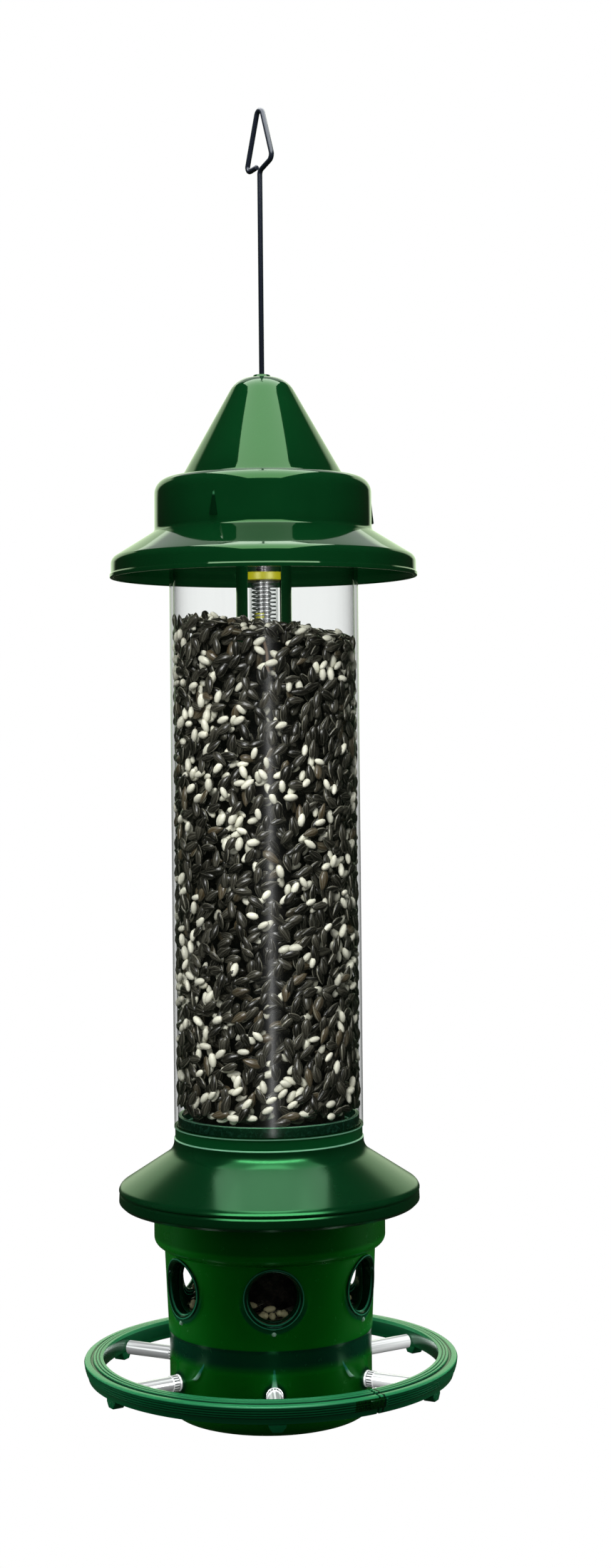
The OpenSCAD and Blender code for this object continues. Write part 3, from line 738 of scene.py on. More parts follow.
def ring_painted_light(f, shade):
    """Painted light on the ring's top ridges, painted shade in their grooves, down the fine steps of its
    outer wall and on its inner wall, and a dark seam with a pitted patch at the joint.
    """
    r, z = f.radius() / MM, f.axis("Z")
    # painted light on the ring's top ridges
    lit_tops = f.between(z, height(RING_TOP - 2.0), height(RING_TOP - 1.7))
    # painted shade in the grooves between the ridges
    grooves = f.band(r, RING_R + 1.95, RING_R + 2.45, 0.1)
    for a, b in ((3.65, 4.15), (5.4, 6.9)):
        grooves = grooves + f.band(r, RING_R + a, RING_R + b, 0.1)
    shade = f.mix(lit_tops * 0.85, shade, (0.024, 0.215, 0.082))
    shade = f.mix((grooves * lit_tops).at_most(1.0) * 0.92, shade, (0.0008, 0.018, 0.008))
    # painted shade lines down the fine steps of the outer wall
    steps = f.between(((z - height(RING_TOP - 3.6)) * (TURN / 0.0013)).cosine(), 0.3, 0.8)
    outer = f.between(r, RING_R + 8.7, RING_R + 8.9) * (1 - lit_tops)
    shade = f.mix(outer * steps * 0.8, shade, (0.0008, 0.014, 0.007))
    # painted shade on the inner wall below the top
    inner = 1 - f.between(r, RING_R + 0.3, RING_R + 0.5)
    shade = f.mix(inner * (1 - lit_tops) * 0.5, shade, (0.001, 0.030, 0.012))
    angle, turn = f.angle(), math.radians(SPLIT_AT)
    patch = f.band(angle, turn - 0.17, turn, 0.002) * outer
    pits = f.between(f.noise(1400, 2, 0.6), 0.48, 0.60)
    shade = f.mix(patch, shade, f.mix(pits, (0.0008, 0.030, 0.003), (0.001, 0.006, 0.003)))
    return f.mix(f.band(angle, turn - 0.006, turn + 0.006, 0.001) * 0.9, shade, (0.0005, 0.006, 0.003))


def rim_painted_glints(f, shade):
    """Painted highlights on the edges round a port's rim, stronger on its lower half."""
    up = f.axis("Z") - height(PORT_Z)
    off = distance(f.at_port()[0], up)
    low_half = 1 - f.between(up, -0.010, 0.006)
    edges = f.band(off, 0.01515, 0.01575, 0.0001) * (low_half * 0.5 + 0.5)
    edges = edges + f.band(off, 0.0134, 0.0140, 0.0001) * low_half
    return f.mix(edges.at_most(1.0) * 0.9, shade, (0.030, 0.24, 0.125))


_finishes = {}


def finishes():
    """Every material, made once from the scene's colours."""
    if _finishes:
        return _finishes
    c = bpy.context.scene.feeder_colours
    soft_green = (0.36, 1.0, 0.42)
    made = {
        "lid": moulded("Green gloss moulding", tuple(c.moulding), 0.05, (0.42, 1.0, 0.40), 0.10, 0.10,
                       marks=rib_painted_light),
        "column": moulded("Green column moulding", tinted(c.moulding, 1.1), 0.14, soft_green, 0.5, 0.2),
        "baffle": moulded("Green baffle moulding", tuple(c.flare), 0.23, (0.18, 1.0, 0.34), 0.3, 0.12,
                          marks=neck_painted_light),
        "enamel": moulded("Green enamel", tuple(c.enamel), 0.26, (0.10, 1.0, 0.25), 0.5, 0.2, 0.40,
                          marks=shroud_painted_light),
        "rim": moulded("Green rim moulding", tinted(c.flare, 0.55), 0.14, (0.35, 1.0, 0.75), 0.5, 0.2,
                       marks=rim_painted_glints),
        "ring": moulded("Green ring moulding", tuple(c.ring), 0.22, (0.35, 1.0, 0.6), 0.5, 0.25,
                        marks=ring_painted_light),
        "inner": moulded("Green inner moulding", tinted(c.moulding, 0.8), 0.30, soft_green, 0.8, 0.4),
        "yellow": moulded("Yellow moulding", tuple(c.marker), 0.32, (1.0, 1.0, 0.6), 0.8, 0.3),
        "black": moulded("Black wire coating", tuple(c.coating), 0.26, (0.9, 0.95, 1.0), 0.1, 0.1),
        "grey": moulded("Grey bush", (0.30, 0.31, 0.29), 0.45, (1, 1, 1), 1.0, 0.4),
        "bright": plated("Bright plate", tuple(c.bright)),
        "knurl": plated("Knurled plate", tuple(c.bright), True),
        "steel": metal("Plain steel", tuple(c.steel), 0.28, (1, 1, 0.12)),
        "spring": metal("Spring steel", (0.62, 0.62, 0.64), 0.24, (1, 1, 1), 0.8),
        "screw": metal("Dark screw steel", (0.135, 0.125, 0.132), 0.28, (1, 1, 1), 0.85),
        "tube": clear("Clear tube", 0.010, (0.010, 0.042, 0.018), 4.5, 0.95, 0.08),
        "guard": clear("Clear guard tube", 0.02, (0.30, 0.40, 0.36), 4.0, 0.75),
    }

    _finishes.update(made)
    _finishes.update(seed_finishes(c))
    return _finishes


def seed_finishes(c):
    """The seeds, the dark between them and the twig."""
    made = {}
    f = Finish("Sunflower hull")
    tone, uv = f.attribute("tone"), f.hull_place()
    across, along = f.axis("X", uv), f.axis("Y", uv)
    swing = (across * TURN * 2).cosine()
    edge = f.between(swing, 0.86, 0.97)
    grain = f.noise(1, 2, 0.5, f.stretched((30, 0.9, 1), uv))
    lines = f.between(grain + tone * 0.10, 0.56, 0.66)
    ends = f.between(along, 0.02, 0.10) * (1 - f.between(along, 0.93, 1.0))
    hull = tuple(c.hull)
    body = f.mix(f.between(tone, 0.1, 0.9), tinted(hull, 0.6), tinted(hull, 2.2))
    body = f.mix(f.between(tone, 0.88, 0.92), body, (0.075, 0.052, 0.024))
    striped = f.mix((edge * 0.75 + lines * 0.28).at_most(0.85) * ends, body, (0.36, 0.35, 0.27))
    mottle = f.noise(900, 2, 0.6)
    made["hull"] = f.done(f.principled(
        Base_Color=f.mix(mottle * 0.25, striped, tinted(hull, 0.5)), Roughness=mottle * 0.14 + 0.22,
        Normal=f.bump(grain, 0.00006, 0.5), Specular_IOR_Level=0.6))

    for key, name, pale in (("pale", "Safflower hull", tuple(c.pale)),
                            ("grain", "Port grain", (0.66, 0.62, 0.36))):
        f = Finish(name)
        tone, uv = f.attribute("tone"), f.hull_place()
        along, mottle = f.axis("Y", uv), f.noise(650, 3, 0.6)
        body = f.mix(tone, tinted(pale, 0.80), tinted(pale, 1.12))
        body = f.mix(f.between(mottle, 0.5, 0.85) * 0.35, body, (0.46, 0.38, 0.20))
        body = f.mix(f.between(along, 0.88, 1.0) * 0.7, body, (0.22, 0.15, 0.08))
        made[key] = f.done(f.principled(
            Base_Color=body, Roughness=mottle * 0.15 + 0.30, Normal=f.bump(mottle, 0.00006, 0.5)))

    f = Finish("Seed shadow")
    cells = f.noise(210, 3, 0.7)
    made["shadow"] = f.done(f.principled(
        Base_Color=f.mix(f.between(cells, 0.4, 0.75), (0.004, 0.004, 0.004), (0.035, 0.028, 0.020)),
        Roughness=cells * 0.2 + 0.6, Normal=f.bump(cells, 0.002, 0.8)))

    f = Finish("Twig bark")
    grain = f.noise(500, 4, 0.7)
    made["bark"] = f.done(f.principled(
        Base_Color=f.mix(grain, (0.05, 0.028, 0.015), (0.20, 0.13, 0.08)), Roughness=grain * 0.2 + 0.6,
        Normal=f.bump(grain, 0.0003, 0.8)))
    return made


class Step(bpy.types.Operator):
    """One step of building the feeder."""

    bl_idname = "feeder.step"
    bl_label = "Feeder Step"
    bl_options = {"REGISTER", "UNDO"}


# ---------------------------------------------------------------- pieces

class FEEDER_OT_hanger(Step):
    """Bends the hanger wire, from the ferrule in the column up to its triangular eye."""

    bl_idname = "feeder.hanger"
    bl_label = "Hanger Wire"

    def execute(self, context):
        eye = HANG + 2.8
        path = rounded([(0, low("hanger_wire")), (0, eye - 34.2, 3), (13.0, eye - 29.5, 3.4),
                        (0.4, eye + 4.3, 3.2), (-13.8, eye - 33, 2.6), (-2.9, eye - 31.7)], 12)
        wire = thickened([place(p) for p in path], 0.0014, 4, "bent_hanger_wire")
        wire.rotation_euler = (0, 0, math.radians(-60))
        settle()
        bevelled(wire, 0.0003, 2, 60)
        finish_piece(smooth(wire, 50), "black", "feeder", "wire_black", "hanger_wire", "hanger_eye")
        return {"FINISHED"}


class FEEDER_OT_lid(Step):
    """Turns the lid: cone, shouldered tier and sloping brim with a beaded foot, and its three wedge ribs."""

    bl_idname = "feeder.lid"
    bl_label = "Lid"

    def execute(self, context):
        sizes = context.scene.feeder_sizes
        skirt, cone_r = LID_FOOT + 10.2, TIER_R - 14.4
        outside = rounded([(4.05, TIP_Z), (13.16, TIP_Z, 14), (cone_r, SHOULDER + 0.9, 2),
                           (TIER_R, SHOULDER, 8), (TIER_R + 0.2, BRIM_TOP, 3), (BRIM_R, skirt, 5),
                           (BRIM_R, LID_FOOT + 2.6), (BRIM_R + 0.7, LID_FOOT + 1.8)], 8)
        outside = fine(outside, 4)
        bead = rounded([(BRIM_R + 0.7, LID_FOOT + 1.8), (BRIM_R + 0.7, LID_FOOT, 0.45),
                        (BRIM_R - 1.5, LID_FOOT, 0.45), (BRIM_R - 1.5, LID_FOOT + 1.8)], 4)[1:-1]
        shell = spun("lid_body", ring(outside + bead + inset(outside, 2.2)[::-1]), sizes.facets)
        ribs = []
        for i in range(3):
            rib = block((4.2, 2.0, 13), (0, -(TIER_R + 0.5) * MM, height(BRIM_TOP + 10.5)))
            to_edit("DESELECT")
            to_object()
            for v in rib.data.vertices:
                v.select = v.co.z > height(BRIM_TOP + 12)
            bpy.ops.object.mode_set(mode="EDIT")
            bpy.ops.transform.resize(value=(0.2, 0.35, 1), center_override=(
                0, -(TIER_R - 0.3) * MM, height(BRIM_TOP + 17)))
            to_object()
            bevelled(rib, 0.0002, 2)
            rib.rotation_euler = (0, 0, math.radians(RIB_AT + i * 120))
            settle()
            ribs.append(rib)
        join(shell, ribs)
        finish_piece(smooth(shell, 34), "lid", "lid", "green_plastic", "lid_shell")
        return {"FINISHED"}


class FEEDER_OT_tube(Step):
    """Turns the clear seed tube with eased ends, and the rim that sits on its top."""

    bl_idname = "feeder.tube"
    bl_label = "Seed Tube"

    def execute(self, context):
        steps, inner = context.scene.feeder_sizes.facets, TUBE_R - WALL
        section = rounded([(TUBE_R, TUBE_LOW + 3), (TUBE_R, TUBE_TOP, 0.4), (inner, TUBE_TOP, 0.4),
                           (inner, TUBE_LOW, 0.4), (TUBE_R, TUBE_LOW, 0.4), (TUBE_R, TUBE_LOW + 3)], 3)
        tube = spun("clear_tube", [place(p) for p in section], steps)
        finish_piece(smooth(tube, 34), "tube", "feeder", "clear_tube", "seed_tube")
        eased("tube_rim", "tube_rim_ring", 0.0003, "column", "feeder", "green_plastic")
        return {"FINISHED"}


class FEEDER_OT_column(Step):
    """Makes the windowed column with its clear guard, screw, spring, setting nut, mark and wheel."""

    bl_idname = "feeder.column"
    bl_label = "Spring Column"

    def execute(self, context):
        inner, foot, head = SLEEVE_R - WALL, low("column_sleeve"), top("column_sleeve")
        sill, lintel = NUT_Z - 50, NUT_Z + 47.5
        sleeve = spun("column_tube", ring([
            (inner, foot), (SLEEVE_R, foot), (SLEEVE_R, sill - 8), (SLEEVE_R + 0.5, sill - 7.6),
            (SLEEVE_R + 0.5, sill - 5.4), (SLEEVE_R, sill - 5), (SLEEVE_R, head - 0.5),
            (SLEEVE_R - 0.5, head), (inner, head)]), 96)
        window = block((18, 60, lintel - sill), (0, 0, height((sill + lintel) / 2)))
        bevelled(window, 0.001, 3)
        cut(sleeve, window)
        bevelled(sleeve, 0.00022, 2, 50)
        finish_piece(smooth(sleeve, 40), "column", "feeder", "green_plastic", "column_sleeve")

        g0, g1 = low("spring_tube"), top("spring_tube")
        guard = spun("clear_guard", ring([(7.0, g0), (7.7, g0), (7.7, g1 - 0.2), (7.5, g1), (7.15, g1),
                                          (7.0, g1 - 0.2)]), 64)
        finish_piece(smooth(guard, 34), "guard", "feeder", "guard_clear", "spring_tube")

        s0, s1 = low("adjuster_screw"), top("adjuster_screw")
        root, crest = 3.4, 4.15
        draw([place(p) for p in [(root, s0), (root, s0 + 0.35), (crest, s0 + 0.75), (crest, s0 + 1.1),
                                 (root, s0 + 1.5), (root, s0 + SCREW_PITCH)]])
        to_object()
        settle()
        turns = round((s1 - s0) / SCREW_PITCH) - 1
        screw = wound(bpy.context.object, SCREW_PITCH, turns, 0, "threaded_screw", 30,
                      use_merge_vertices=True, merge_threshold=2e-6)
        finish_piece(screw, "screw", "adjuster", "dark_screw", "adjuster_screw")

        w0, w1, coils = low("spring"), top("spring"), 34
        start()
        bpy.ops.mesh.primitive_circle_add(vertices=8, radius=0.475 * MM, rotation=(math.pi / 2, 0, 0),
                                          location=(6.125 * MM, 0, height(w0 + 0.55)))
        settle()
        coil = wound(bpy.context.object, (w1 - w0 - 1.05) / coils, coils, 10, "coil_spring", 60)
        finish_piece(coil, "spring", "setting", "steel", "spring")

        for node, name, body in (("setting_nut", "setting_band", "setting"),
                                 ("setting_mark", "setting_flag", "adjuster"),
                                 ("adjuster_wheel", "thumb_wheel", "adjuster")):
            eased(node, name, 0.0003, "yellow", body, "yellow_plastic", 3)
        return {"FINISHED"}


class FEEDER_OT_baffle(Step):
    """Turns the flared baffle with its neck beads, and the spigot inside the tube."""

    bl_idname = "feeder.baffle"
    bl_label = "Baffle"

    def execute(self, context):
        steps, neck, foot = context.scene.feeder_sizes.facets, TUBE_LOW - 5.4, low("baffle")
        wide = reach("baffle")
        outside = rounded([(TUBE_R + 0.1, TUBE_LOW), (TUBE_R + 0.1, TUBE_LOW - 0.9, 0.2),
                           (TUBE_R - 0.4, TUBE_LOW - 1.3, 0.2), (TUBE_R - 0.4, neck - 0.8, 0.2),
                           (TUBE_R + 0.2, neck - 1.3, 0.2), (TUBE_R + 0.2, neck - 7.5, 9),
                           (wide - 0.9, foot + 10.4, 4), (wide, foot + 8.4, 1),
                           (wide, foot + 7.6, 0.4), (wide - 0.8, foot + 7.0, 0.5),
                           (wide - 0.2, foot + 5.8, 0.8), (wide, foot + 1.7, 1.4), (wide - 1.8, foot)], 9)
        outside = fine(outside, 4)
        flare = spun("baffle_flare", ring(outside + inset(outside, WALL)[::-1]), steps)
        cup_top = TUBE_LOW - 12.4
        spigot = spun("spigot", ring(rounded([
            (46.6, cup_top - 4), (46.6, cup_top - 7), (48.6, cup_top - 7), (48.6, cup_top + 0.2),
            (49.4, cup_top + 0.2), (49.4, TUBE_LOW), (48.6, TUBE_LOW), (48.6, TUBE_LOW + SPIGOT, 0.4),
            (46.6, TUBE_LOW + SPIGOT, 0.4), (46.6, cup_top - 4)])[:-1]), steps)
        join(flare, [spigot])
        finish_piece(smooth(flare, 34), "baffle", "feeder", "green_plastic", "baffle")
        return {"FINISHED"}


class FEEDER_OT_cup(Step):
    """Turns the feed cup and cuts its six ports, with eased mouths."""

    bl_idname = "feeder.cup"
    bl_label = "Feed Cup"

    def execute(self, context):
        base, head = 48.0, top("feed_cup")
        cup = spun("feed_cup_body", ring([
            (6, base), (CUP_R - 0.6, base), (CUP_R, base + 0.6), (CUP_R, head - 0.3), (CUP_R - 0.3, head),
            (CUP_R - 2, head), (CUP_R - 2, base + 3), (CUP_R - 3, base + 2), (18.05, base + 2),
            (18.05, base + 12), (14.95, base + 12), (14.95, base + 2), (6, base + 2)]), 192)
        plug = wrapped("plug", [(0, 3), (13.9, 3), (13.6, 0.3), (13.0, -0.05), (12.65, -0.4), (12.5, -0.9),
                                (12.5, -5), (0, -5)], 64, lambda h: 0 * h + CUP_R)
        cut(cup, six(plug, "plugs"))
        finish_piece(smooth(cup, 40), "rim", "feeder", "green_plastic", "feed_cup")
        return {"FINISHED"}


class FEEDER_OT_shroud(Step):
    """Turns the shroud, raises the perch fairings and the ridge under each port, and cuts the ports."""

    bl_idname = "feeder.shroud"
    bl_label = "Shroud"

    def execute(self, context):
        climb = context.scene.feeder_sizes.horn / MM
        head, inner = 125, COLLAR_R - WALL
        outside = rounded([(COLLAR_R, head), (COLLAR_R, NECK_Z + 3, 5), (NECK_R, NECK_Z, 1), (BELT_R, BELT_Z),
                           (54.35, 43.6), (54.1, 32.6), (FOOT_R, 31.8), (FOOT_R, 0, 4.6), (46, 0)], 7)
        line = fine(outside, 1.15)
        lip = rounded([(COLLAR_R, head - 1), (COLLAR_R, head, 0.4), (inner, head, 0.4), (inner, head - 1)],
                      3)[1:-1]
        inside = inset(outside, WALL)
        wall = spun("shroud_wall", ring([*line[1:], *inside[::-1][:-1], *lip[::-1]]), 330)
        co = points_of(wall)
        r, a = np.hypot(co[:, 0], co[:, 1]) / MM, np.degrees(np.arctan2(co[:, 0], -co[:, 1]))
        h, grow = (co[:, 2] - FOOT) / MM, np.zeros(len(co))
        outer, mean_r = (r > 53.2) & (h > 4.5) & (h < 86), 54.6
        for i in range(PORTS):
            u = np.radians((a - i * 60 + 180) % 360 - 180) * mean_r
            # the fairing swells like a trumpet towards the perch
            far = np.hypot(u, h - PERCH_Z) - 4.6
            grow = np.maximum(grow, 2.9 * np.clip(1 - far / climb, 0, 1) ** 2.6)
            # a thin horn climbs from it, swept towards the front
            t = np.clip((h - PERCH_Z - 2.3) / 10, 0, 1)
            sweep = math.sin(math.radians(i * 60)) * -(7.4 + 11.9 * t ** 0.4)
            horn = 1.3 * (1 - t) * np.exp(-((u - sweep) / 1.5) ** 2) * (h - PERCH_Z > 1)
            grow = np.maximum(grow, horn)
            w = h - PORT_Z
            off = np.hypot(u, w)
            ridge = np.exp(-((off - 17.3) / 0.95) ** 2) * np.clip((4 - w) / 9, 0, 1)
            grow = np.maximum(grow, 0.55 * ridge)
        scale = np.where(outer, (r + grow) / np.maximum(r, 1), 1)
        co[:, 0] *= scale
        co[:, 1] *= scale
        set_points(wall, co)
        plug = wrapped("plug", [(0, 4), (14.4, 4), (14.4, -5), (0, -5)], 64, wall_curve)
        cut(wall, six(plug, "plugs"))
        dot = spun("nub", local([(0, -0.6), (1.0, -0.6), (1.0, 0.6), (0.8, 1.0), (0.4, 1.25), (0, 1.3),
                                 (0, -0.6)]), 20)
        outward(dot, PORT_Z - NUB_DROP)
        only(dot)
        dot.location = (0, -54.9 * MM, 0)
        settle()
        join(wall, [six(dot, "nubs")])
        finish_piece(smooth(wall, 38), "enamel", "shroud_frame", "shroud_green", "shroud")
        return {"FINISHED"}


class FEEDER_OT_port_rims(Step):
    """Makes one rounded port rim on the curved wall and copies it to the six ports."""

    bl_idname = "feeder.port_rims"
    bl_label = "Port Rims"

    def execute(self, context):
        section = [(p.x, p.y) for p in rounded([
            (14.5, -0.4), (15.95, -0.4), (15.95, 0.95, 0.5), (14.5, 1.0, 0.9), (13.9, -0.2, 0.4),
            (13.3, -0.9, 0.5), (13.3, -4.6, 0.3), (14.3, -4.6, 0.3), (14.3, -0.5), (14.5, -0.4)], 4)]
        rim = wrapped("rim", section, 96, wall_curve)
        rims = six(rim, "port_rims")
        finish_piece(smooth(rims, 40), "rim", "shroud_frame", "green_plastic", "port_bezels")
        return {"FINISHED"}


class FEEDER_OT_perches(Step):
    """Turns one plated perch and its knurled collar and copies both to the six places."""

    bl_idname = "feeder.perches"
    bl_label = "Perches"

    def execute(self, context):
        out, end = FOOT_R + 2.9, RING_R - 0.3
        rod = spun("rod", local([
            (0, 45.3), (1.7, 45.3), (2, 45.6), (2, out), (3.5, out), (PERCH_R, out + 0.3),
            (PERCH_R, end - 0.4), (3.4, end), (2, end), (2, 94.1), (1.7, 94.4), (0, 94.4), (0, 45.3)]), 32)
        rods = six(outward(rod, PERCH_Z), "perches")
        finish_piece(smooth(rods, 34), "bright", "shroud_frame", "chrome", "perch_rods")
        grip = 0.93  # closes the collar on the rod's neck
        collar = spun("collar", local([((PERCH_R + x) * grip, out + z) for x, z in (
            (0, 0), (0.8, 0), (1.0, 0.2), (1.0, 0.8), (0.5, 1.05), (0.5, 1.4), (0.85, 1.6), (0.85, 4.5),
            (0.5, 4.9), (0, 5.0), (0, 0))]), 36)
        collars = six(outward(collar, PERCH_Z), "knurled_collars")
        finish_piece(smooth(collars, 20), "knurl", "shroud_frame", "chrome", "perch_collars")
        return {"FINISHED"}


def arc_middle(obj):
    """Direction of the middle of a half ring, its points weighted evenly round its arc."""
    co = points_of(obj)
    bins = np.unique(np.round(np.arctan2(co[:, 1], co[:, 0]), 1))
    return math.atan2(np.sin(bins).sum(), np.cos(bins).sum())


class FEEDER_OT_ring(Step):
    """Sweeps the two ridged halves of the perch ring and rounds their brackets and clasps."""

    bl_idname = "feeder.ring"
    bl_label = "Perch Ring"

    def execute(self, context):
        gap = context.scene.feeder_sizes.seam / (95 * MM)
        deep = low("ring_half_left") - RING_TOP
        section = [
            (1.4, deep), (0, -7.4), (0, -0.4), (0.15, -0.1), (0.5, 0), (1.8, 0), (2.2, -0.6), (2.55, -0.1),
            (3.5, -0.15), (3.9, -0.8), (4.25, -0.3), (5.2, -0.4), (5.8, -1.5), (6.5, -1.6), (7.1, -0.95),
            (8.8, -1.0), (9.5, -1.2), (9.9, -1.5), (10.28, -2.3), (10.18, -3.2), (9.85, -3.6), (10, -4.4),
            (9.55, -4.9), (9.7, -5.7), (9.25, -6.2), (9.3, -7), (8.9, -7.4), (8, deep)]
        for name, node in (("ring_right", "ring_half_right"), ("ring_left", "ring_half_left")):
            half = spun(name, ring([(RING_R + x, RING_TOP + z) for x, z in section]), 120,
                        math.pi - gap, caps=True)
            only(half)
            # the half is turned until its middle faces the way its CAD node's does
            middle = sum((v.co for v in half.data.vertices), Vector()) / len(half.data.vertices)
            half.rotation_euler = (0, 0, arc_middle(NODES[node]) - math.atan2(middle.y, middle.x))
            settle()
            bevelled(half, 0.00015, 1, 60)
            finish_piece(smooth(half, 30), "ring", "shroud_frame", "ring_green", node)
        for node, name, width in (("ring_brackets", "ring_feet", 0.0004),
                                  ("ring_clasps", "ring_clips", 0.0002)):
            eased(node, name, width, "ring", "shroud_frame", "ring_green")
        return {"FINISHED"}


class FEEDER_OT_base(Step):
    """Rounds the pierced base plate and the parts that hold it."""

    bl_idname = "feeder.base"
    bl_label = "Base Plate"

    def execute(self, context):
        for node, name, width, kind, slot in (
                ("base_plate", "pierced_base", 0.0004, "column", "green_plastic"),
                ("perch_nuts", "perch_hexes", 0.0003, "steel", "steel"),
                ("base_nut", "base_hex", 0.0004, "steel", "steel")):
            eased(node, name, width, kind, "shroud_frame", slot)
        return {"FINISHED"}


def hull_form(widths, sides=8):
    """A unit seed along X: rings of the given half widths between two points.
    Gives its points, its triangles and the (across, along) place of each triangle's corners."""
    n = len(widths)
    ts = [(k + 0.6) / (n + 0.2) for k in range(n)]
    points = [(-0.5, 0, 0)]
    for t, w in zip(ts, widths):
        points += [(t - 0.5, w / 2 * math.cos(TURN * j / sides), w / 2 * math.sin(TURN * j / sides))
                   for j in range(sides)]
    points.append((0.5, 0, 0))
    last = len(points) - 1
    tris, uvs = [], []
    at = lambda k, j: 1 + k * sides + j % sides
    for j in range(sides):
        u, v = j / sides, (j + 1) / sides
        tris.append((0, at(0, j + 1), at(0, j)))
        uvs.append(((u, 0), (v, ts[0]), (u, ts[0])))
        tris.append((last, at(n - 1, j), at(n - 1, j + 1)))
        uvs.append(((u, 1), (u, ts[-1]), (v, ts[-1])))
        for k in range(n - 1):
            a, b = ts[k], ts[k + 1]
            tris += [(at(k, j), at(k, j + 1), at(k + 1, j + 1)), (at(k, j), at(k + 1, j + 1), at(k + 1, j))]
            uvs += [((u, a), (v, a), (v, b)), ((u, a), (v, b), (u, b))]
    return np.array(points), np.array(tris), np.array(uvs)


def round_axis(a):
    """Unit vectors pointing out from the feeder's axis at the angles a from the front."""
    return np.stack([np.sin(a), -np.cos(a), 0 * a], 1)


def upward(h):
    """Vectors straight up of the lengths h."""
    return np.stack([0 * h, 0 * h, h], 1)


HULL = hull_form([0.42, 0.84, 1.0, 0.68])
GRAIN = hull_form([0.66, 0.97, 0.98, 0.66])


def seed_mesh(name, form, where, frames, sizes, tones):
    """One mesh of many seeds: each is the form scaled by its sizes, turned by its frame and put in place."""
    points, tris, uvs = form
    n, m = len(where), len(points)
    co = (points[None] * sizes[:, None]) @ frames + where[:, None]
    faces = (tris[None] + (np.arange(n) * m)[:, None, None]).reshape(-1, 3)
    mesh = bpy.data.meshes.new(name)
    mesh.from_pydata(co.reshape(-1, 3), [], faces)
    layer = mesh.uv_layers.new(name="Hull")
    layer.data.foreach_set("uv", np.tile(uvs.reshape(-1), n).astype(np.float32))
    tone = mesh.attributes.new("tone", "FLOAT", "POINT")
    tone.data.foreach_set("value", np.repeat(tones, m).astype(np.float32))
    mesh.polygons.foreach_set("use_smooth", np.ones(len(faces), bool))
    mesh.update()
    obj = bpy.data.objects.new(name, mesh)
    bpy.context.scene.collection.objects.link(obj)
    return obj


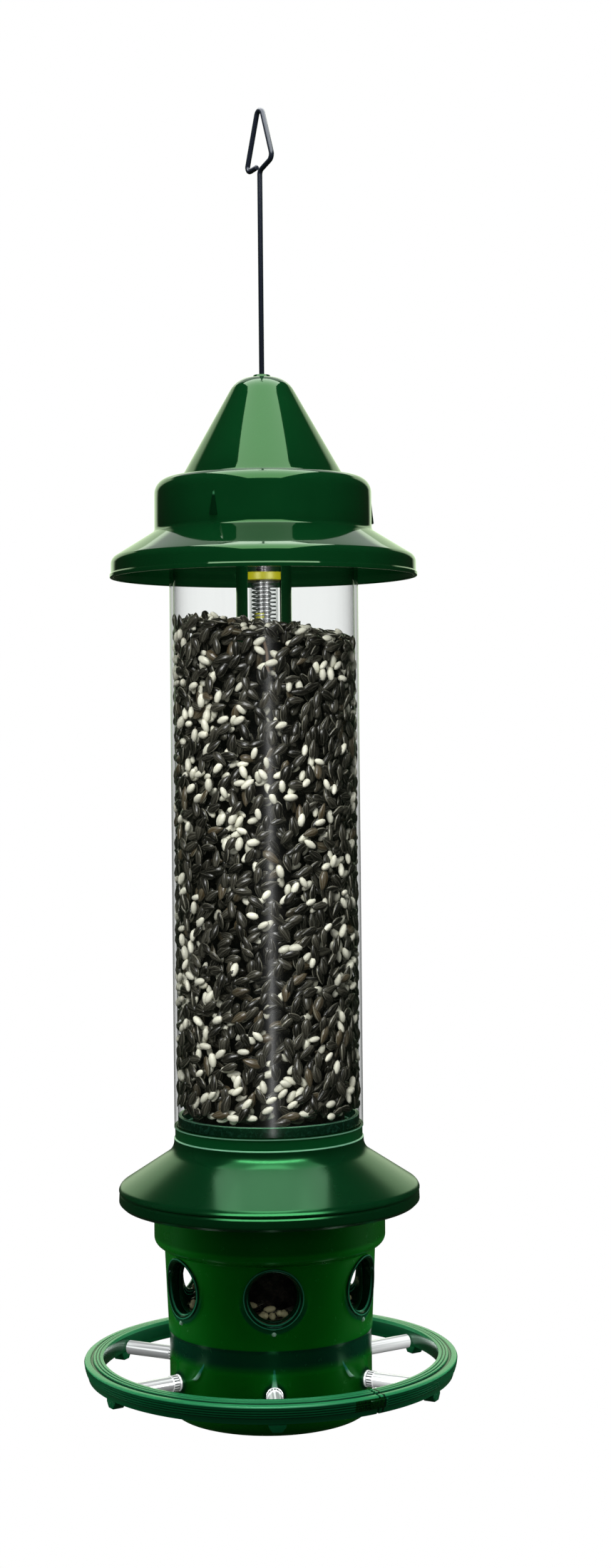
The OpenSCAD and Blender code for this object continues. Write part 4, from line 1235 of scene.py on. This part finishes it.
class FEEDER_OT_seed(Step):
    """Fills the tube: seeds lie flat against the wall in three layers, over the top and in each port."""

    bl_idname = "feeder.seed"
    bl_label = "Seed"

    def execute(self, context):
        s = context.scene.feeder_seed
        rng = np.random.RandomState(s.shuffle)
        bore, base = TUBE_R - WALL, TUBE_LOW + SPIGOT
        level, hull = top("seed_fill") - 6.0, s.hull_length / MM
        self.dark, self.light = bags = [], []

        def lay(n, seat, high, normal, long_mm, tilt, pale_share, depth):
            """Adds n seeds; seat and high are their places, normal the way they face."""
            pale = rng.rand(n) < pale_share
            length = np.where(pale, rng.uniform(6.6, 8.6, n), rng.normal(long_mm, 0.7, n).clip(8.8, 12.0))
            width = length * np.where(pale, rng.uniform(0.46, 0.56, n), rng.uniform(0.43, 0.53, n))
            thick = width * np.where(pale, rng.uniform(0.75, 0.95, n), rng.uniform(0.56, 0.70, n))
            out = normal / np.linalg.norm(normal, axis=1)[:, None]
            side = np.cross([0, 0, 1.0], out)
            flat = np.linalg.norm(side, axis=1) < 1e-3
            side[flat] = [1, 0, 0]
            side /= np.linalg.norm(side, axis=1)[:, None]
            up = np.cross(out, side)
            spin = rng.uniform(0, math.pi, n) * np.where(rng.rand(n) < 0.5, 1, 0.62)
            spin = spin + rng.randint(0, 2, n) * math.pi
            # seeds near the spigot lie down on it
            low_down = (high < base + 6) & (np.abs(np.sin(spin)) > 0.5)
            spin = np.where(low_down, rng.uniform(-0.32, 0.32, n), spin)
            along = side * np.cos(spin)[:, None] + up * np.sin(spin)[:, None]
            lean = rng.normal(0, tilt, n).clip(-1.0, 1.0)
            along = along * np.cos(lean)[:, None] + out * np.sin(lean)[:, None]
            across = np.cross(out, along)
            across /= np.linalg.norm(across, axis=1)[:, None]
            roll = rng.normal(0, 0.34, n)
            face = np.cross(along, across)
            across, face = (across * np.cos(roll)[:, None] + face * np.sin(roll)[:, None],
                            face * np.cos(roll)[:, None] - across * np.sin(roll)[:, None])
            half = np.hypot(np.cos(roll) * thick / 2, np.sin(roll) * width / 2)
            sagitta = length ** 2 / 8 / 48.0 * np.cos(spin) ** 2
            inward = np.hypot(np.sin(lean) * length / 2 * 0.86, half) + sagitta
            where = seat - out * (inward + depth)[:, None]
            frames = np.stack([along, across, face], 1)
            sizes = np.stack([length, width, thick], 1)
            tones = rng.rand(n)
            for bag, mask in ((self.dark, ~pale), (self.light, pale)):
                bag.append((where[mask], frames[mask], sizes[mask], tones[mask]))

        def even(n):
            """Evenly scattered pairs from nought to one."""
            steps = 0.7548776662, 0.5698402910
            k = np.arange(n) + rng.rand()
            return (k * steps[0]) % 1, (k * steps[1]) % 1

        for layer, more in ((0, 1.0), (1, 1.15), (2, 0.8)):
            n = int(s.wall_seeds * more)
            u, v = even(n)
            a = u * TURN + rng.normal(0, 0.02, n)
            surface = level - 6 * np.sin(a) + 1.5 * np.sin(a * 7 + 1) + 1.2 * np.sin(a * 13 + 2)
            h = base + 2.5 + (surface - base - 4.4) * v + rng.normal(0, 0.6, n)
            out = round_axis(a)
            seat = out * (bore + 0.9) + upward(h)
            patches = np.sin(a * 5 + h * 0.11) * np.sin(h * 0.07 + a * 3)
            cluster = s.pale_share * (1 + 1.1 * patches).clip(0.2, 3)
            lay(n, seat, h, out, hull, 0.16 + 0.1 * layer, cluster, layer * 2.6)
        # over the top of the seed
        n, inmost, outmost = 520, 19, 43.5
        u, v = even(n)
        a, r = u * TURN, np.sqrt(v * (outmost ** 2 - inmost ** 2) + inmost ** 2)
        x, y = r * np.sin(a), -r * np.cos(a)
        h = level - x * 6 / TUBE_R + 0.6 + 2.2 * np.sin(a * 6 + r * 0.3) + rng.uniform(-1.5, 2.0, n)
        facing_up = np.stack([rng.normal(0, 0.25, n), rng.normal(0, 0.25, n), np.ones(n)], 1)
        lay(n, np.stack([x, y, h], 1), h, facing_up, hull, 0.35, s.pale_share, 0)
        # a heap behind each port, kept apart from the seed in the tube
        self.dark, self.light = heaps = [], []
        n, outmost, floor = 80, 46.2, 54.5
        for i in range(PORTS):
            a = math.radians(i * 60) + rng.uniform(-0.42, 0.42, n)
            r = rng.uniform(34, outmost, n)
            h = floor + (outmost - r) * rng.uniform(0.3, 1.3, n) + rng.uniform(0, 3.5, n)
            out = round_axis(a)
            lay(n, out * r[:, None] + upward(h), h, out * 0.8 + np.array([0, 0, 1.0]), hull * 0.86, 0.4,
                0.12, 0)
        for bag, form, name, kind, pieces in (
                (bags[0], HULL, "dark_seeds", "hull", 2),
                (bags[1], GRAIN, "pale_seeds", "pale", 1),
                (heaps[0], HULL, "port_dark_seeds", "hull", 1),
                (heaps[1], GRAIN, "port_pale_seeds", "grain", 1)):
            where, frames, sizes, tones = [np.concatenate(part) for part in zip(*bag)]
            order = np.argsort(np.arctan2(where[:, 1], where[:, 0]))
            for k, part in enumerate(np.array_split(order, pieces)):
                seeds = seed_mesh(f"{name}_{k + 1}", form, where[part] * MM + np.array([0, 0, FOOT]),
                                  frames[part], sizes[part] * MM, tones[part])
                finish_piece(seeds, kind, "feeder", "seed")
        # round cream grains on the cup's floor at each port
        where, outmost, floor = [], 46.4, 60.2
        for k in range(9 * PORTS):
            a = math.radians(k // 9 * 60) + rng.uniform(-0.15, 0.15)
            r = rng.uniform(43.6, outmost)
            where.append((r * math.sin(a), -r * math.cos(a),
                          floor + rng.uniform(0, 1.2) + (outmost - r) * 0.5))
        where = np.array(where)
        n = len(where)
        frames = np.linalg.qr(rng.normal(0, 1, (n, 3, 3)))[0]
        frames[np.linalg.det(frames) < 0, 2] *= -1
        sizes = rng.uniform(3.3, 4.1, (n, 1)) * np.array([[1.1, 1, 0.95]])
        grains = seed_mesh("round_grains", GRAIN, where * MM + np.array([0, 0, FOOT]), frames, sizes * MM,
                           rng.rand(n))
        finish_piece(grains, "grain", "feeder", "seed")
        # the heart of the heap: a dark solid that stands in for seed in shadow
        heart = spun("seed_heart", ring([
            (SLEEVE_R + 0.3, 66), (36, 56), (37.5, 60), (37.5, 100), (44, base - 26), (40.5, base),
            (40.5, level - 12), (30, level - 8), (SLEEVE_R + 0.3, level - 8)]), 48)
        finish_piece(smooth(heart, 60), "shadow", "feeder", "seed", "seed_fill")
        # a broken twig lying in the seed
        a = math.radians(8)
        path = [Vector((x * math.cos(a) * MM - 0.0005, -47.4 * MM + x * x * 0.00001, height(402 + z)))
                for x, z in [(-1, 9), (0, 5), (0.6, 1), (0.4, -3), (1.2, -7)]]
        twig = smooth(thickened(path, 0.0009, 2, "twig"), 60)
        finish_piece(twig, "bark", "feeder", "seed")
        return {"FINISHED"}


class FEEDER_OT_finishes(Step):
    """Gives every CAD part that still shows its own finish."""

    bl_idname = "feeder.finishes"
    bl_label = "Finishes of the Small Parts"

    def execute(self, context):
        kinds = {
            "hanger_ferrule": "steel", "hanger_block": "inner", "column_screws": "steel",
            "screw_plate": "inner", "tube_seat": "inner", "seed_diverter": "inner", "cup_bush": "grey",
            "wire_bush": "lid", "lid_lock_ring": "inner", "pull_rod": "steel", "rod_head": "steel",
            "rod_stop": "steel", "rod_spacer": "inner", "base_washer": "steel"}
        for name, node in NODES.items():
            if not node.hide_render:
                for own in node.material_slots:
                    own.material = finishes()[kinds[name]]
        return {"FINISHED"}


# ---------------------------------------------------------------- studio

class FEEDER_OT_stage(Step):
    """Sets the pale floor, the soft boxes, the surroundings and the camera."""

    bl_idname = "feeder.stage"
    bl_label = "Studio"

    def box_light(self, name, spot, target, size, radiance, seen_by, only_on):
        """A soft box: an area light at spot facing target, both above the foot, of that radiance in watts per
        square metre and steradian. seen_by is gloss, matt or both; only_on names the pieces it lights."""
        data = bpy.data.lights.new(name, "AREA")
        data.shape, data.size, data.size_y = "RECTANGLE", size[0], size[1]
        data.energy = radiance * size[0] * size[1] * math.pi
        lamp = bpy.data.objects.new(name, data)
        bpy.context.scene.collection.objects.link(lamp)
        lamp.location = Vector(spot) + Vector((0, 0, FOOT))
        lamp.rotation_mode = "QUATERNION"
        lamp.rotation_quaternion = (Vector(target) - Vector(spot)).to_track_quat("-Z", "Y")
        lamp.visible_camera = lamp.visible_transmission = False
        lamp.visible_glossy, lamp.visible_diffuse = seen_by != "matt", seen_by != "gloss"
        if only_on:
            group = bpy.data.collections.new(name + " lit")
            for o in only_on:
                group.objects.link(bpy.data.objects[o])
            lamp.light_linking.receiver_collection = group
            lamp.light_linking.blocker_collection = group

    def execute(self, context):
        s = context.scene.feeder_studio
        ground = FOOT - s.floor_drop
        start()
        bpy.ops.mesh.primitive_circle_add(vertices=128, radius=0.80, fill_type="NGON",
                                          location=(0, 0, ground))
        floor = bpy.context.object
        settle()
        to_edit()
        bpy.ops.mesh.extrude_region_move(TRANSFORM_OT_translate={"value": (0, 0, -0.01)})
        to_object()
        floor.name = "studio_floor"
        f = Finish("Studio floor")
        soft = f.noise(3, 2, 0.5)
        floor.data.materials.append(f.done(f.principled(
            Base_Color=f.mix(soft, (0.86, 0.86, 0.86), (0.90, 0.90, 0.90)), Roughness=0.7,
            Emission_Color=(1, 1, 1), Emission_Strength=0.62)))
        floor.visible_diffuse = floor.visible_glossy = False

        world = bpy.data.worlds.new("Studio surroundings")
        bpy.context.scene.world = world
        w = Finish("surroundings", world)
        way = w.coords("Generated")
        x, y, z = w.axis("X", way), w.axis("Y", way), w.axis("Z", way)
        ahead = y / distance(x, y).at_least(0.001)
        behind = w.between(z.at_least(0.0) * 0.35 + ahead, 0.88, 0.97) * w.band(z, 0.0, 0.52, 0.04)
        back = w.add("ShaderNodeBackground", {}, {
            "Color": (0.80, 1.0, 0.66), "Strength": behind * 1.15 + 0.03})
        even = w.add("ShaderNodeBackground", {}, {
            "Color": (1, 1, 1), "Strength": (w.between(z, -0.3, 0.3) * 0.7 + 0.3) * s.ambient})
        white = w.add("ShaderNodeBackground", {}, {"Color": (1, 1, 1), "Strength": 1.0})
        seen = w.add("ShaderNodeLightPath", out="Is Camera Ray")
        soft_ray = w.add("ShaderNodeLightPath", out="Is Diffuse Ray")
        lit = w.add("ShaderNodeMixShader", {}, {0: soft_ray, 1: back, 2: even})
        w.add_output("ShaderNodeOutputWorld", w.add("ShaderNodeMixShader", {}, {0: seen, 1: lit, 2: white}))

        rings = ["ring_right", "ring_left", "ring_feet", "ring_clips"]
        shell = ["shroud_wall", "port_rims", "feed_cup_body", *rings, "pierced_base"]
        bars = ["perches", "knurled_collars"]
        stem = ["column_tube", "setting_flag", "setting_band", "coil_spring", "threaded_screw", "thumb_wheel",
                "tube_rim_ring", "clear_guard"]
        grain = ["dark_seeds_1", "dark_seeds_2", "pale_seeds_1", "twig"]
        wall, flare, lid = ["shroud_wall"], ["baffle_flare"], ["lid_body"]
        # name, place and target above the foot, size, radiance, surfaces, pieces
        lights = [
            ("Overhead box", (0, -0.19, 0.82), (0, -0.19, 0), (0.34, 0.66), s.overhead, "both", None),
            ("Front fill", (0.1, -1.5, 0.5), (0, 0, 0.25), (0.9, 0.9), 0.55, "matt", None)]
        for word, side in (("Left", -1), ("Right", 1)):
            lights += [(f"{word} {name}", (side * x, y, z), (0, 0, aim), *rest)
                       for name, (x, y, z), aim, *rest in (
                ("wall light", (0.95, 0.42, 0.14), 0.06, (0.6, 1.0), 7.0, "matt", shell),
                ("fairing light", (0.8, -0.45, 0.75), 0.02, (0.25, 0.6), 9.0, "gloss", wall),
                ("flare light", (0.95, 0.15, 0.45), 0.12, (0.6, 0.4), 4.0, "matt", flare),
                ("perch light", (0.8, -0.9, 0.35), 0.02, (0.8, 0.9), 5.0, "both", bars),
                ("column light", (0.5, -1.0, 0.55), 0.45, (0.25, 0.8), 13.0, "both", stem))]
        lights += [
            ("Perch top light", (0, -0.2, 0.9), (0, 0, 0), (0.9, 0.9), 5.0, "both", bars),
            ("Ring light", (0, -0.3, 0.9), (0, 0, 0), (0.9, 0.9), 2.6, "both", rings),
            ("Fairing light", (0, -1.0, 0.75), (0, 0, 0.02), (0.09, 0.8), 12.0, "gloss", wall),
            ("Baffle box", (0, -0.066, 0.162), (0, -0.066, 0), (0.082, 0.056), 2.7, "gloss", flare),
            ("Bead box", (0, -0.75, 0.66), (0, 0, 0.12), (1.3, 0.20), 17.0, "gloss", flare),
            ("Tube strip", (0.085, -1.6, 0.23), (0, 0, 0.23), (0.10, 0.9), 11.0, "gloss", ["clear_tube"]),
            ("Back box", (0, 1.0, 1.45), (0, 0, 0.48), (1.1, 0.8), 0.9, "gloss", lid),
            ("Under light", (0, -0.7, 0.1), (0, 0, 0.45), (0.8, 0.3), 9.0, "matt", lid),
            ("Seed light", (-0.4, -1.1, 0.95), (0, 0, 0.28), (0.5, 0.5), 17.0, "both", grain)]
        for light in lights:
            self.box_light(*light)

        camera = bpy.data.objects.new("Camera", bpy.data.cameras.new("Camera"))
        bpy.context.scene.collection.objects.link(camera)
        turn, roll = math.radians(-2.7), math.radians(0.55)
        away, aside, above_foot = 1.2342, 0.0217, 0.3592
        right, up = Vector((math.cos(turn), math.sin(turn), 0)), Vector((0, 0, 1))
        ahead = Vector((-math.sin(turn), math.cos(turn), 0))
        where = -ahead * away + right * aside + Vector((0, 0, FOOT + above_foot))
        tall = up * math.cos(roll) + right * math.sin(roll)
        wide = right * math.cos(roll) - up * math.sin(roll)
        turned = Matrix((wide, tall, -ahead)).transposed().to_4x4()
        camera.matrix_world = Matrix.Translation(where) @ turned
        camera.data.lens, camera.data.sensor_width, camera.data.sensor_fit = s.lens, 36, "AUTO"
        camera.data.shift_y = -0.0277
        camera.data.clip_start, camera.data.clip_end = 0.02, 20
        bpy.context.scene.camera = camera
        bpy.context.scene.view_settings.view_transform = "Standard"
        return {"FINISHED"}


# ---------------------------------------------------------------- panel and registration

STEPS = (
    FEEDER_OT_hanger, FEEDER_OT_lid, FEEDER_OT_tube, FEEDER_OT_column, FEEDER_OT_baffle, FEEDER_OT_cup,
    FEEDER_OT_shroud, FEEDER_OT_port_rims, FEEDER_OT_perches, FEEDER_OT_ring, FEEDER_OT_base,
    FEEDER_OT_seed, FEEDER_OT_finishes, FEEDER_OT_stage,
)
GROUPS = {
    "feeder_colours": FeederColours, "feeder_sizes": FeederSizes,
    "feeder_seed": FeederSeed, "feeder_studio": FeederStudio,
}


class FEEDER_PT_panel(bpy.types.Panel):
    """The steps of building the feeder, with their settings."""

    bl_label = "Hanging Tube Feeder"
    bl_idname = "FEEDER_PT_panel"
    bl_space_type = "VIEW_3D"
    bl_region_type = "UI"
    bl_category = "Feeder"

    def draw(self, context):
        column = self.layout.column(align=True)
        for step in STEPS:
            column.operator(step.bl_idname)
        for name, group in GROUPS.items():
            box = self.layout.box()
            box.label(text=group.__doc__)
            for key in group.__annotations__:
                box.prop(getattr(context.scene, name), key)


CLASSES = (*GROUPS.values(), *STEPS, FEEDER_PT_panel)


def register():
    """Registers the classes and hangs the settings on the scene."""
    for c in CLASSES:
        bpy.utils.register_class(c)
    for name, group in GROUPS.items():
        setattr(bpy.types.Scene, name, bpy.props.PointerProperty(type=group))


def unregister():
    """Takes the settings and the classes away again."""
    for name in GROUPS:
        delattr(bpy.types.Scene, name)
    for c in reversed(CLASSES):
        bpy.utils.unregister_class(c)


def main():
    """Builds every piece."""
    register()
    for step in STEPS:
        group, name = step.bl_idname.split(".")
        getattr(getattr(bpy.ops, group), name)()


if __name__ == "__main__":
    main()
